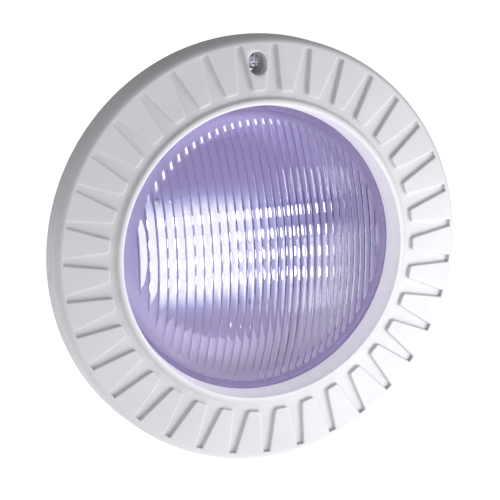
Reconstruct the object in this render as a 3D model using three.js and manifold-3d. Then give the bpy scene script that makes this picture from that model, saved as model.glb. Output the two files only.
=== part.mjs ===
// Underwater pool light for a wet niche, modelled as an assembly.
//
// Frame: millimetres. The lamp's axis lies along Y and the lens faces -Y. +Z is up on the pool wall.
// The origin is on the axis, in the plane where the back edge of the face ring rests on the wall.
// Places round the ring are clock angles: 0 is at the top, and they grow clockwise seen from the front.

import * as THREE from 'three';
import { mergeVertices } from 'three/addons/utils/BufferGeometryUtils.js';
import Module from 'manifold-3d';

const wasm = await Module();
wasm.setup();

// ---------------------------------------------------------------------------------------------
// Driving dimensions
// ---------------------------------------------------------------------------------------------

const CLEARANCE = 0.3; // air between two pieces that touch or slide

// Lens
const LENS_RADIUS = 106.4; // 8 3/8 in glass
const LENS_EDGE_THICKNESS = 7;
const LENS_EDGE_FRONT = -4.6; // front face of the lens edge
const LENS_EDGE_WIDTH = 10.4; // flat edge outside the dome
const LENS_RISE = 38.1; // dome height in front of the edge
const LENS_WALL = 5;

// Face ring
const RING_OVERHANG = 30.1; // ring radius beyond the lens
const RIM_DEPTH = 14.5; // straight side of the ring
const RIM_WALL = 3.5;
const SHOULDER_WIDTH = 4.5;
const SHOULDER_RISE = 6.5;
const PAD_COUNT = 35;
const PAD_LENGTH = 29;
const PAD_RISE = 4.5; // inner ends of the pads in front of their outer ends
const PAD_THICKNESS = 2.5; // pads above the floor between them
const PAD_GAP_INNER = 6.0; // degrees between pads at their inner ends
const PAD_GAP_OUTER = 1.6; // degrees between pads at their outer ends
const BAND_WIDTH = 4.2; // flat band inside the pads
const LIP_WIDTH = 5;
const LIP_RISE = 1.5;
const FUNNEL_DRAFT = 2.1; // inward lean of the funnel between the lip and the lens
const RING_WALL = 2.9;
const RIB_THICKNESS = 1.8;

// Pilot screw, its slot in the ring and its retainer
const PILOT_OFFSET = 9; // screw axis outside the clamp band
const PILOT_RADIUS = 3.175;
const PILOT_LENGTH = 46;
const PILOT_HEAD_RADIUS = 4.3;
const PILOT_HEAD_HEIGHT = 3.3;
const PILOT_SEAT = -14; // floor of the counterbore
const PILOT_SEAT_THICKNESS = 4;
const PILOT_POCKET_WIDTH = 11.7;
const PILOT_POCKET_LENGTH = 14.3;
const PILOT_SLOT_PLAY = 4; // length of the slot beyond its width
const PILOT_TRAVEL = 12.7; // ten turns of a 20 per inch thread
const RETAINER_RADIUS = 8;
const RETAINER_THICKNESS = 2;

// Gasket, clamp band and clamp screw
const GASKET_WALL = 2.6;
const GASKET_LIP = 7;
const FLANGE_THICKNESS = 2;
const BAND_WALL = 1.4;
const BAND_LIP = 6.6;
const BAND_GAP = 14; // between the two ears
const EAR_THICKNESS = 2;
const EAR_WIDTH = 11;
const EAR_TO_RIM = 7; // from the ears' tips to the inside of the rim
const CLAMP_SCREW_RADIUS = 3;
const CLAMP_SCREW_LENGTH = 33;
const CLAMP_HEAD_RADIUS = 5;
const CLAMP_HEAD_HEIGHT = 5;
const CLAMP_WASHER_THICKNESS = 1.2;
const CLAMP_NUT_THICKNESS = 5.5;
const CLAMP_NUT_WIDTH = 10;

// Ring clips and bottom hook
const CLIP_COUNT = 4;
const BOSS_RADIUS = 5;
const CLIP_WIDTH = 14;
const CLIP_THICKNESS = 1.8;
const FIXING_RADIUS = 2; // screws that hold the clips and the hook
const FIXING_LENGTH = 14;
const FIXING_HEAD_RADIUS = 3.8;
const FIXING_HEAD_HEIGHT = 2.6;
const HOOK_THICKNESS = 2;
const HOOK_ANGLE = 19; // half of the hook base's spread, in degrees
const HOOK_SCREW_ANGLE = 16;
const HOOK_TONGUE_WIDTH = 40;
const HOOK_TONGUE_LENGTH = 14;
const HOOK_LIP = 6;

// Housing
const HOUSING_DEPTH = 95; // outside of the back wall
const HOUSING_WALL = 2;
const THROAT_INSET = 8.8; // flange edge to the outside of the throat
const WAIST_INSET = 12.5; // throat to the waist
const WAIST_DEPTH = 58; // where the cone meets the rounded back
const BACK_CORNER = 30; // waist to the flat part of the back wall
const BACK_BEAD_RADIUS = 40; // stamped bead round the gland
const BACK_BEAD_WIDTH = 8;
const BACK_BEAD_DEPTH = 1.6;

// Light engine
const SINK_FRONT = 28;
const SINK_THICKNESS = 6;
const FIN_COUNT = 11;
const FIN_PITCH = 9;
const FIN_THICKNESS = 2.4;
const FIN_DEPTH = 18;
const FIN_CIRCLE = 58;
const BOARD_THICKNESS = 1.6;
const LED_BOARD_RADIUS = 66;
const LED_ROW_COUNT = 4;
const LED_ROW_PITCH = 14;
const LEDS_PER_ROW = 6;
const LED_ROW_DROP = 6; // middle of the rows below the axis
const LED_PITCH = 20.5;
const LED_RADIUS = 4;
const LED_HEIGHT = 3.5;
const LED_CARRIER_WIDTH = 9;
const LED_CARRIER_THICKNESS = 1.5;
const LED_SCREW_CIRCLE = 58;
const BOARD_SCREW_RADIUS = 1.5;
const BOARD_SCREW_HEAD_RADIUS = 2.8;
const BOARD_SCREW_HEAD_HEIGHT = 2;
const BOARD_SCREW_LENGTH = 7;
const CABLE_RADIUS = 2;
const CABLE_PLACE = { x: 13.5, z: -44 };
const REFLECTOR_FOOT = 4; // flat foot round the LED board
const REFLECTOR_WALL = 1.2;
const REFLECTOR_MOUTH = 9; // depth of the reflector's front edge

// Driver
const DRIVER_DEPTH = 60;
const DRIVER_INSET = 14; // waist to the driver board's edge
const STANDOFF_INSET = 6; // board's edge to the standoffs
const STANDOFF_RADIUS = 3.2;

// Gland
const CORD_BORE = 6.2;
const NECK_RADIUS = 12;
const NECK_LENGTH = 14;
const NECK_INNER_LENGTH = 9;
const GLAND_FLANGE_STEP = 2.4; // flange beyond the nut's corners
const GLAND_FLANGE_THICKNESS = 5;
const O_RING_THICKNESS = 1.6;
const LOCK_NUT_THICKNESS = 4;
const SOCKET_RADIUS = 9.5;
const SOCKET_DEPTH = 10;
const SLIP_WASHER_THICKNESS = 1;
const GLAND_NUT_WALL = 1.3; // at the flats
const LOCK_NUT_WALL = 2;
const GLAND_NUT_END = 4;

// Facets
const RING_FACETS = 70;
const BODY_FACETS = 48;
const GLAND_FACETS = 24;
const SMALL_FACETS = 16;
const SCREW_FACETS = 12;
const TINY_FACETS = 8;
const MERGE_DISTANCE = 1e-4;
const HEXAGON = Math.cos(Math.PI / 6); // a hexagon's flats over its corners

// ---------------------------------------------------------------------------------------------
// Sizes that follow from them
// ---------------------------------------------------------------------------------------------

const RING_RADIUS = LENS_RADIUS + RING_OVERHANG;
const RIM_INSIDE = RING_RADIUS - RIM_WALL;
const SHOULDER_RADIUS = RING_RADIUS - SHOULDER_WIDTH;
const PAD_FRONT = -(RIM_DEPTH + SHOULDER_RISE);
const PAD_SLOPE = PAD_RISE / PAD_LENGTH;
const PAD_INNER_RADIUS = SHOULDER_RADIUS - PAD_LENGTH;
const BAND_INNER_RADIUS = PAD_INNER_RADIUS - BAND_WIDTH;
const LIP_INNER_RADIUS = BAND_INNER_RADIUS - LIP_WIDTH;
const FUNNEL_RADIUS = LIP_INNER_RADIUS - FUNNEL_DRAFT;

const LENS_EDGE_BACK = LENS_EDGE_FRONT + LENS_EDGE_THICKNESS;
const DOME_RADIUS = LENS_RADIUS - LENS_EDGE_WIDTH;
const DOME_SPHERE = (DOME_RADIUS ** 2 + LENS_RISE ** 2) / (2 * LENS_RISE);
const DOME_CENTRE = LENS_EDGE_FRONT - LENS_RISE + DOME_SPHERE;

const GASKET_INSIDE = LENS_RADIUS + CLEARANCE;
const GASKET_RADIUS = GASKET_INSIDE + GASKET_WALL;
const GASKET_FRONT = LENS_EDGE_FRONT - CLEARANCE - GASKET_WALL;
const GASKET_BACK = LENS_EDGE_BACK + CLEARANCE + GASKET_WALL;
const FLANGE_FRONT = GASKET_BACK + CLEARANCE;
const FLANGE_BACK = FLANGE_FRONT + FLANGE_THICKNESS;
const BAND_INSIDE = GASKET_RADIUS + CLEARANCE;
const BAND_RADIUS = BAND_INSIDE + BAND_WALL;
const BAND_FRONT = GASKET_FRONT - CLEARANCE - BAND_WALL;
const BAND_BACK = FLANGE_BACK + CLEARANCE + BAND_WALL;
const EAR_RADIUS = RIM_INSIDE - EAR_TO_RIM;
const CLAMP_AXIS_RADIUS = (BAND_RADIUS + EAR_RADIUS) / 2;

const BOSS_CIRCLE = BAND_RADIUS + 1.5 + BOSS_RADIUS;
const PILOT_CIRCLE = BAND_RADIUS + PILOT_OFFSET;
const HOOK_OUTSIDE = RIM_INSIDE - 1;
const HOOK_INSIDE = EAR_RADIUS + 1.4;
const HOOK_BOSS_CIRCLE = HOOK_OUTSIDE - 9.2;

const THROAT_RADIUS = GASKET_RADIUS - THROAT_INSET;
const WAIST_RADIUS = THROAT_RADIUS - WAIST_INSET;
const BACK_RADIUS = WAIST_RADIUS - BACK_CORNER;
const DRIVER_RADIUS = WAIST_RADIUS - DRIVER_INSET;
const STANDOFF_CIRCLE = DRIVER_RADIUS - STANDOFF_INSET;
const GLAND_NUT_RADIUS = (NECK_RADIUS + CLEARANCE + GLAND_NUT_WALL) / HEXAGON;
const GLAND_FLANGE_RADIUS = GLAND_NUT_RADIUS + GLAND_FLANGE_STEP;

// The floor of the spaces between the pads, and of the band inside them, at a radius.
const padSurface = (radius) => PAD_FRONT - (SHOULDER_RADIUS - radius) * PAD_SLOPE;
const gapFloor = (radius) => padSurface(radius) + PAD_THICKNESS;
const underside = (radius) => gapFloor(radius) + RING_WALL;

// The outside of the housing cone at a depth.
function coneOutside(depth) {
  const share = (depth - FLANGE_BACK) / (WAIST_DEPTH - FLANGE_BACK);
  return THREE.MathUtils.lerp(THROAT_RADIUS, WAIST_RADIUS, share);
}
const coneInside = (depth) => coneOutside(depth) - HOUSING_WALL;

// ---------------------------------------------------------------------------------------------
// Solids
// ---------------------------------------------------------------------------------------------

// A closed solid from any closed three.js geometry.
function toSolid(geometry) {
  const bare = geometry.clone();
  bare.deleteAttribute('normal');
  bare.deleteAttribute('uv');
  const merged = mergeVertices(bare, MERGE_DISTANCE);
  const index = merged.index.array;
  const corners = [];
  for (let i = 0; i < index.length; i += 3) {
    const [a, b, c] = index.slice(i, i + 3);
    if (a !== b && b !== c && c !== a) corners.push(a, b, c);
  }
  return new wasm.Manifold(new wasm.Mesh({
    numProp: 3,
    vertProperties: Float32Array.from(merged.attributes.position.array),
    triVerts: Uint32Array.from(corners),
  }));
}

function toGeometry(solid) {
  const cut = solid.getMesh();
  const geometry = new THREE.BufferGeometry();
  geometry.setAttribute('position', new THREE.BufferAttribute(cut.vertProperties, 3));
  geometry.setIndex(new THREE.BufferAttribute(cut.triVerts, 1));
  geometry.computeVertexNormals();
  return geometry;
}

const joined = (solids) => solids.reduce((whole, solid) => whole.add(solid));
const cutBy = (solid, cutters) => cutters.reduce((rest, cutter) => rest.subtract(cutter), solid);

// Turns an outline of [radius, depth] points about the Y axis. An outline that starts and ends on
// the axis gives a solid body, and any other closes on itself into a ring.
function turnedGeometry(outline, facets) {
  const points = outline.map(([radius, depth]) => new THREE.Vector2(radius, depth));
  if (THREE.ShapeUtils.area(points) < 0) points.reverse();
  if (points.some((point) => point.x > 0 && point === points[0])) points.push(points[0].clone());
  return new THREE.LatheGeometry(points, facets);
}
const turned = (outline, facets) => toSolid(turnedGeometry(outline, facets));

// Pushes a shape drawn as seen from the front (X right, Z up) through a range of depths.
function plate(shape, front, back, curveSegments = 6) {
  const settings = { depth: back - front, bevelEnabled: false, curveSegments };
  const geometry = new THREE.ExtrudeGeometry(shape, settings);
  geometry.rotateX(Math.PI / 2);
  geometry.translate(0, back, 0);
  return geometry;
}

function box(width, depth, height, x, y, z) {
  const geometry = new THREE.BoxGeometry(width, depth, height);
  geometry.translate(x, y, z);
  return geometry;
}

// A round bar along Y.
function bar(radius, front, back, x = 0, z = 0, facets = TINY_FACETS) {
  const geometry = new THREE.CylinderGeometry(radius, radius, back - front, facets);
  geometry.translate(x, (front + back) / 2, z);
  return geometry;
}

// Moves a feature made at the top of the ring to its clock angle.
function atClock(geometry, degrees) {
  return geometry.clone().rotateY(THREE.MathUtils.degToRad(degrees));
}

// Where a point at a radius and clock angle is, seen from the front.
function clockPoint(radius, degrees) {
  const angle = THREE.MathUtils.degToRad(degrees);
  return { x: radius * Math.sin(angle), z: radius * Math.cos(angle) };
}

// A rectangle with half-round ends, centred at (0, z), long side upright.
function roundEnded(width, length, z) {
  const radius = width / 2;
  const reach = (length - width) / 2;
  const shape = new THREE.Shape();
  shape.absarc(0, z + reach, radius, 0, Math.PI, false);
  shape.absarc(0, z - reach, radius, Math.PI, 2 * Math.PI, false);
  return shape;
}

function polygonShape(sides, radius, hole = 0) {
  const corner = (i) => clockPoint(radius, ((i + 0.5) * 360) / sides);
  const corners = Array.from({ length: sides }, (_, i) => corner(sides - 1 - i));
  const shape = new THREE.Shape(corners.map(({ x, z }) => new THREE.Vector2(x, z)));
  if (hole > 0) shape.holes.push(new THREE.Path().absarc(0, 0, hole, 0, 2 * Math.PI, true));
  return shape;
}

// Points along part of an ellipse in the [radius, depth] plane.
function arc(centre, semi, from, to, steps) {
  return Array.from({ length: steps + 1 }, (_, i) => {
    const angle = THREE.MathUtils.degToRad(THREE.MathUtils.lerp(from, to, i / steps));
    return [centre[0] + semi[0] * Math.cos(angle), centre[1] + semi[1] * Math.sin(angle)];
  });
}

// A screw with a domed head that faces -Y, its underside at zero depth. Two blades across the head
// make a cross recess, one makes a slot, and none leaves it plain.
function domedScrew(radius, length, headRadius, headHeight, blades, facets = SCREW_FACETS) {
  const point = radius / 3;
  const edge = headHeight * 0.35;
  const dome = arc([0, -edge], [headRadius, headHeight - edge], 0, -90, 3);
  dome[dome.length - 1][0] = 0;
  const shank = [[0, length], [radius - point, length], [radius, length - point], [radius, 0]];
  const body = turned([...shank, [headRadius, 0], ...dome], facets);
  const long = headRadius * 1.1;
  const narrow = headRadius * 0.26;
  const recess = [
    box(long, headHeight, narrow, 0, -headHeight, 0),
    box(narrow, headHeight, long, 0, -headHeight, 0),
  ];
  return cutBy(body, recess.slice(0, blades).map(toSolid));
}

function washer(radius, hole, front, back, facets = SMALL_FACETS) {
  return turned([[hole, front], [radius, front], [radius, back], [hole, back]], facets);
}

// ---------------------------------------------------------------------------------------------
// Finishes
// ---------------------------------------------------------------------------------------------

function finish(color, roughness, metalness) {
  return new THREE.MeshStandardMaterial({ color, roughness, metalness });
}
const WHITE_PLASTIC = finish(0xe6e4ec, 0.42, 0);
const STEEL = finish(0xb9bbc0, 0.3, 1);
const GLASS = finish(0xb9b4dc, 0.08, 0);
const BLACK_RUBBER = finish(0x2b2b2d, 0.75, 0);
const GREY_SILICONE = finish(0xb2b1ba, 0.6, 0);
const ALUMINIUM = finish(0xc3c5c9, 0.4, 1);
const BRASS = finish(0xb9924a, 0.35, 1);
const MIRROR = finish(0xdad8ea, 0.12, 1);
const WHITE_BOARD = finish(0xf0f1f0, 0.5, 0);
const GREEN_BOARD = finish(0x1f5a3a, 0.5, 0);
const LED_DOME = finish(0xfffdf2, 0.1, 0);
const DARK_PLASTIC = finish(0x303236, 0.5, 0);
const COPPER = finish(0xb06a3c, 0.35, 1);

const light = new THREE.Group();

function add(name, solid, material, place = light) {
  const mesh = new THREE.Mesh(toGeometry(solid), material);
  mesh.name = name;
  place.add(mesh);
  return mesh;
}

function placedGroup(x, y, z) {
  const group = new THREE.Group();
  group.position.set(x, y, z);
  light.add(group);
  return group;
}

// ---------------------------------------------------------------------------------------------
// Face ring
// ---------------------------------------------------------------------------------------------

const CLIP_ANGLES = Array.from({ length: CLIP_COUNT }, (_, i) => ((i + 0.5) * 360) / CLIP_COUNT);
const HOOK_SCREW_ANGLES = [180 - HOOK_SCREW_ANGLE, 180 + HOOK_SCREW_ANGLE];
const PAD_PITCH = 360 / PAD_COUNT;
const GAP_ANGLES = Array.from({ length: PAD_COUNT }, (_, i) => (i + 0.5) * PAD_PITCH);
const BORE_RADIUS = FIXING_RADIUS + CLEARANCE;
const CLIP_SEAT = BAND_BACK; // back face of the clip bosses, level with the clamp band
const HOOK_SEAT = 0; // back face of the hook bosses

function ringShell() {
  const shoulder = arc([SHOULDER_RADIUS, -RIM_DEPTH], [SHOULDER_WIDTH, SHOULDER_RISE], 0, -90, 3);
  const band = gapFloor(PAD_INNER_RADIUS);
  const lipEdge = gapFloor(LIP_INNER_RADIUS) - LIP_RISE;
  const front = [
    [RING_RADIUS, 0],
    ...shoulder,
    [PAD_INNER_RADIUS, padSurface(PAD_INNER_RADIUS)],
    [PAD_INNER_RADIUS, band],
    [BAND_INNER_RADIUS, gapFloor(BAND_INNER_RADIUS)],
    [BAND_INNER_RADIUS - LIP_WIDTH * 0.35, lipEdge],
    [LIP_INNER_RADIUS + LIP_WIDTH * 0.15, lipEdge],
    [LIP_INNER_RADIUS, lipEdge + LIP_RISE / 2],
  ];
  const funnelEnd = LENS_EDGE_FRONT + domeSag(FUNNEL_RADIUS) - CLEARANCE;
  const back = [
    [FUNNEL_RADIUS, funnelEnd],
    [FUNNEL_RADIUS + RING_WALL, funnelEnd],
    [LIP_INNER_RADIUS + RING_WALL, underside(LIP_INNER_RADIUS + RING_WALL)],
    [RIM_INSIDE - RING_WALL / 2, underside(RIM_INSIDE)],
    [RIM_INSIDE, underside(RIM_INSIDE) + RING_WALL / 2],
    [RIM_INSIDE, 0],
  ];
  return turned([...front, ...back], RING_FACETS);
}

// How far the dome's surface stands in front of the lens edge at a radius, as a negative depth.
function domeSag(radius) {
  return DOME_CENTRE - Math.sqrt(DOME_SPHERE ** 2 - radius ** 2) - LENS_EDGE_FRONT;
}

// The spaces between the pads: tapered wedges that stop at the floor.
function padGaps() {
  const inner = PAD_INNER_RADIUS - CLEARANCE;
  const outer = SHOULDER_RADIUS - CLEARANCE;
  const above = padSurface(inner) - PAD_THICKNESS;
  const reach = [[inner, above], [outer, above], [outer, gapFloor(outer)], [inner, gapFloor(inner)]];
  const halfInner = inner * Math.tan(THREE.MathUtils.degToRad(PAD_GAP_INNER / 2));
  const halfOuter = outer * Math.tan(THREE.MathUtils.degToRad(PAD_GAP_OUTER / 2));
  const wedge = new THREE.Shape([
    new THREE.Vector2(-halfInner, inner - BAND_WIDTH / 2),
    new THREE.Vector2(halfInner, inner - BAND_WIDTH / 2),
    new THREE.Vector2(halfOuter, outer + BAND_WIDTH / 2),
    new THREE.Vector2(-halfOuter, outer + BAND_WIDTH / 2),
  ]);
  const cutter = plate(wedge, above, 0);
  const wedges = joined(GAP_ANGLES.map((angle) => toSolid(atClock(cutter, angle))));
  return wedges.intersect(turned(reach, RING_FACETS));
}

// Stiffening ribs under the ring, one behind each space between the pads.
function ringRibs() {
  const start = LIP_INNER_RADIUS + RING_WALL * 0.6;
  const end = RIM_INSIDE + RIM_WALL / 2;
  const overBand = BAND_FRONT - 2.8;
  const outline = new THREE.Shape([
    new THREE.Vector2(start, underside(start) - RING_WALL / 2),
    new THREE.Vector2(end, underside(end) - RING_WALL / 2),
    new THREE.Vector2(end, BAND_FRONT),
    new THREE.Vector2(start, overBand),
  ]);
  const rib = new THREE.ExtrudeGeometry(outline, { depth: RIB_THICKNESS, bevelEnabled: false });
  // The outline's first axis is the radius, so it turns to point up, and its second is the depth.
  rib.applyMatrix4(new THREE.Matrix4().makeBasis(
    new THREE.Vector3(0, 0, 1), new THREE.Vector3(0, 1, 0), new THREE.Vector3(-1, 0, 0)));
  rib.translate(RIB_THICKNESS / 2, 0, 0);
  return GAP_ANGLES.map((angle) => toSolid(atClock(rib, angle)));
}

function boss(circle, angle, seat) {
  const { x, z } = clockPoint(circle, angle);
  return toSolid(bar(BOSS_RADIUS, underside(circle) - RING_WALL / 2, seat, x, z, SMALL_FACETS));
}

function bossBore(circle, angle, seat) {
  const { x, z } = clockPoint(circle, angle);
  return toSolid(bar(BORE_RADIUS, seat - FIXING_LENGTH, seat + 1, x, z));
}

function faceRing() {
  const pocketWall = 2.6;
  const top = PILOT_SEAT + PILOT_SEAT_THICKNESS;
  const pilotBoss = roundEnded(PILOT_POCKET_WIDTH + 2 * pocketWall, PILOT_POCKET_LENGTH + 2 * pocketWall,
    PILOT_CIRCLE);
  const pocket = roundEnded(PILOT_POCKET_WIDTH, PILOT_POCKET_LENGTH, PILOT_CIRCLE);
  const slotWidth = 2 * (PILOT_RADIUS + CLEARANCE);
  const slot = roundEnded(slotWidth, slotWidth + PILOT_SLOT_PLAY, PILOT_CIRCLE);
  const bosses = [
    toSolid(plate(pilotBoss, underside(PILOT_CIRCLE) - RING_WALL / 2, top)),
    ...CLIP_ANGLES.map((angle) => boss(BOSS_CIRCLE, angle, CLIP_SEAT)),
    ...HOOK_SCREW_ANGLES.map((angle) => boss(HOOK_BOSS_CIRCLE, angle, HOOK_SEAT)),
  ];
  const cuts = [
    padGaps(),
    toSolid(plate(pocket, 2 * PAD_FRONT, PILOT_SEAT)),
    toSolid(plate(slot, PILOT_SEAT - 1, top + 1)),
    ...CLIP_ANGLES.map((angle) => bossBore(BOSS_CIRCLE, angle, CLIP_SEAT)),
    ...HOOK_SCREW_ANGLES.map((angle) => bossBore(HOOK_BOSS_CIRCLE, angle, HOOK_SEAT)),
  ];
  return cutBy(joined([ringShell(), ...ringRibs(), ...bosses]), cuts);
}

add('face_ring', faceRing(), WHITE_PLASTIC);

// ---------------------------------------------------------------------------------------------
// Pilot screw and retainer
// ---------------------------------------------------------------------------------------------

const pilot = placedGroup(0, PILOT_SEAT - CLEARANCE, PILOT_CIRCLE);
const pilotScrew = domedScrew(PILOT_RADIUS, PILOT_LENGTH, PILOT_HEAD_RADIUS, PILOT_HEAD_HEIGHT, 2,
  SMALL_FACETS);
add('pilot_screw', pilotScrew, STEEL, pilot);
// The retainer meets the back of the seat when the screw is all the way out.
const retainerFront = PILOT_SEAT_THICKNESS + PILOT_TRAVEL + 2 * CLEARANCE;
add('pilot_screw_retainer', washer(RETAINER_RADIUS, PILOT_RADIUS + CLEARANCE, retainerFront,
  retainerFront + RETAINER_THICKNESS), BLACK_RUBBER, pilot);

// ---------------------------------------------------------------------------------------------
// Bottom hook
// ---------------------------------------------------------------------------------------------

function hookBase() {
  const from = THREE.MathUtils.degToRad(270 - HOOK_ANGLE);
  const to = THREE.MathUtils.degToRad(270 + HOOK_ANGLE);
  const sector = new THREE.Shape();
  sector.absarc(0, 0, HOOK_OUTSIDE, from, to, false);
  sector.absarc(0, 0, HOOK_INSIDE, to, from, true);
  const front = HOOK_SEAT + CLEARANCE;
  const back = front + HOOK_THICKNESS;
  const tabWidth = 2 * BOSS_RADIUS;
  const tabInner = HOOK_BOSS_CIRCLE - BOSS_RADIUS;
  const tabOuter = HOOK_OUTSIDE + BOSS_RADIUS;
  const tab = roundEnded(tabWidth, tabOuter - tabInner, (tabInner + tabOuter) / 2);
  const tabPlate = plate(tab, front, back);
  const kept = turned([[0, front - 1], [HOOK_OUTSIDE, front - 1], [HOOK_OUTSIDE, back + 1], [0, back + 1]],
    RING_FACETS);
  const tabs = HOOK_SCREW_ANGLES.map((angle) => toSolid(atClock(tabPlate, angle)).intersect(kept));
  const holes = HOOK_SCREW_ANGLES.map((angle) => {
    const { x, z } = clockPoint(HOOK_BOSS_CIRCLE, angle);
    return toSolid(bar(BORE_RADIUS, front - 1, back + 1, x, z));
  });
  return cutBy(joined([toSolid(plate(sector, front, back, 12)), ...tabs]), holes);
}

function bottomHook() {
  const front = HOOK_SEAT + CLEARANCE;
  const bend = -(HOOK_INSIDE + HOOK_OUTSIDE) / 2;
  const outline = new THREE.Shape([
    new THREE.Vector2(front, bend + HOOK_THICKNESS / 2),
    new THREE.Vector2(front, bend - HOOK_THICKNESS / 2),
    new THREE.Vector2(HOOK_TONGUE_LENGTH - HOOK_THICKNESS, bend - HOOK_THICKNESS / 2),
    new THREE.Vector2(HOOK_TONGUE_LENGTH - HOOK_THICKNESS, bend - HOOK_LIP),
    new THREE.Vector2(HOOK_TONGUE_LENGTH, bend - HOOK_LIP),
    new THREE.Vector2(HOOK_TONGUE_LENGTH, bend + HOOK_THICKNESS / 2),
  ]);
  const tongue = new THREE.ExtrudeGeometry(outline, { depth: HOOK_TONGUE_WIDTH, bevelEnabled: false });
  // The outline's first axis is the depth and its second the height, and it is pushed along X.
  tongue.applyMatrix4(new THREE.Matrix4().makeBasis(
    new THREE.Vector3(0, 1, 0), new THREE.Vector3(0, 0, 1), new THREE.Vector3(1, 0, 0)));
  tongue.translate(-HOOK_TONGUE_WIDTH / 2, 0, 0);
  return hookBase().add(toSolid(tongue));
}

add('bottom_hook', bottomHook(), STEEL);

// A fixing screw whose head is behind the ring and whose shank points to the front.
function fixingScrew(name, circle, angle, seat) {
  const { x, z } = clockPoint(circle, angle);
  const screw = domedScrew(FIXING_RADIUS, FIXING_LENGTH, FIXING_HEAD_RADIUS, FIXING_HEAD_HEIGHT, 1);
  add(name, screw, STEEL, placedGroup(x, seat, z)).rotation.x = Math.PI;
}

const hookScrewSeat = HOOK_SEAT + HOOK_THICKNESS + 2 * CLEARANCE;
['right', 'left'].forEach((side, i) => {
  fixingScrew(`hook_screw_${side}`, HOOK_BOSS_CIRCLE, HOOK_SCREW_ANGLES[i], hookScrewSeat);
});

// ---------------------------------------------------------------------------------------------
// Ring clips
// ---------------------------------------------------------------------------------------------

function ringClip() {
  const inner = BAND_INSIDE - BAND_LIP + 1;
  const outer = BOSS_CIRCLE + BOSS_RADIUS;
  const shape = new THREE.Shape();
  const half = CLIP_WIDTH / 2;
  const corner = 2.5;
  shape.moveTo(-half, inner);
  shape.lineTo(half, inner);
  shape.lineTo(half, outer - corner);
  shape.absarc(half - corner, outer - corner, corner, 0, Math.PI / 2, false);
  shape.absarc(corner - half, outer - corner, corner, Math.PI / 2, Math.PI, false);
  shape.holes.push(new THREE.Path().absarc(0, BOSS_CIRCLE, BORE_RADIUS, 0, 2 * Math.PI, true));
  const front = CLIP_SEAT + CLEARANCE;
  return plate(shape, front, front + CLIP_THICKNESS, 4);
}

CLIP_ANGLES.forEach((angle, i) => {
  add(`ring_clip_${i + 1}`, toSolid(atClock(ringClip(), angle)), STEEL);
  fixingScrew(`clip_screw_${i + 1}`, BOSS_CIRCLE, angle, CLIP_SEAT + CLIP_THICKNESS + 2 * CLEARANCE);
});

// ---------------------------------------------------------------------------------------------
// Lens and gasket
// ---------------------------------------------------------------------------------------------

function lens() {
  const domePoint = (sphere, radius) => [radius, DOME_CENTRE - Math.sqrt(sphere ** 2 - radius ** 2)];
  const spread = (limit, steps) => Array.from({ length: steps + 1 }, (_, i) => (limit * i) / steps);
  const outside = spread(DOME_RADIUS, 6).map((radius) => domePoint(DOME_SPHERE, radius));
  const innerSphere = DOME_SPHERE - LENS_WALL;
  const innerReach = Math.sqrt(innerSphere ** 2 - (DOME_CENTRE - LENS_EDGE_FRONT) ** 2);
  const inside = spread(innerReach, 4).map((radius) => domePoint(innerSphere, radius)).reverse();
  const edge = [
    [LENS_RADIUS, LENS_EDGE_FRONT],
    [LENS_RADIUS, LENS_EDGE_BACK],
    [innerReach, LENS_EDGE_BACK],
  ];
  return turned([...outside, ...edge, ...inside], BODY_FACETS);
}

add('lens', lens(), GLASS);

function lensGasket() {
  const lip = GASKET_INSIDE - GASKET_LIP;
  return turned([
    [lip, GASKET_FRONT],
    [GASKET_RADIUS, GASKET_FRONT],
    [GASKET_RADIUS, GASKET_BACK],
    [lip, GASKET_BACK],
    [lip, LENS_EDGE_BACK + CLEARANCE],
    [GASKET_INSIDE, LENS_EDGE_BACK + CLEARANCE],
    [GASKET_INSIDE, LENS_EDGE_FRONT - CLEARANCE],
    [lip, LENS_EDGE_FRONT - CLEARANCE],
  ], BODY_FACETS);
}

add('lens_gasket', lensGasket(), GREY_SILICONE);

// ---------------------------------------------------------------------------------------------
// Clamp band, its screw, washer and nut
// ---------------------------------------------------------------------------------------------

const EAR_OUTSIDE = BAND_GAP / 2 + EAR_THICKNESS;

function clampBand() {
  const lip = BAND_INSIDE - BAND_LIP;
  const section = [
    [lip, BAND_FRONT],
    [BAND_RADIUS, BAND_FRONT],
    [BAND_RADIUS, BAND_BACK],
    [lip, BAND_BACK],
    [lip, BAND_BACK - BAND_WALL],
    [BAND_INSIDE, BAND_BACK - BAND_WALL],
    [BAND_INSIDE, BAND_FRONT + BAND_WALL],
    [lip, BAND_FRONT + BAND_WALL],
  ];
  const split = box(BAND_GAP, 2 * BAND_RADIUS, BAND_RADIUS, 0, 0, -BAND_RADIUS);
  const root = Math.sqrt(BAND_RADIUS ** 2 - EAR_OUTSIDE ** 2) - BAND_WALL / 2;
  const earHeight = EAR_RADIUS - root;
  const ears = [-1, 1].map((side) => {
    const x = side * (BAND_GAP + EAR_THICKNESS) / 2;
    return toSolid(box(EAR_THICKNESS, EAR_WIDTH, earHeight, x, 0, -(root + earHeight / 2)));
  });
  const hole = new THREE.CylinderGeometry(CLAMP_SCREW_RADIUS + CLEARANCE, CLAMP_SCREW_RADIUS + CLEARANCE,
    4 * EAR_OUTSIDE, SMALL_FACETS);
  hole.rotateZ(Math.PI / 2);
  hole.translate(0, 0, -CLAMP_AXIS_RADIUS);
  const band = turned(section, BODY_FACETS).subtract(toSolid(split));
  return joined([band, ...ears]).subtract(toSolid(hole));
}

add('clamp_band', clampBand(), STEEL);

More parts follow.
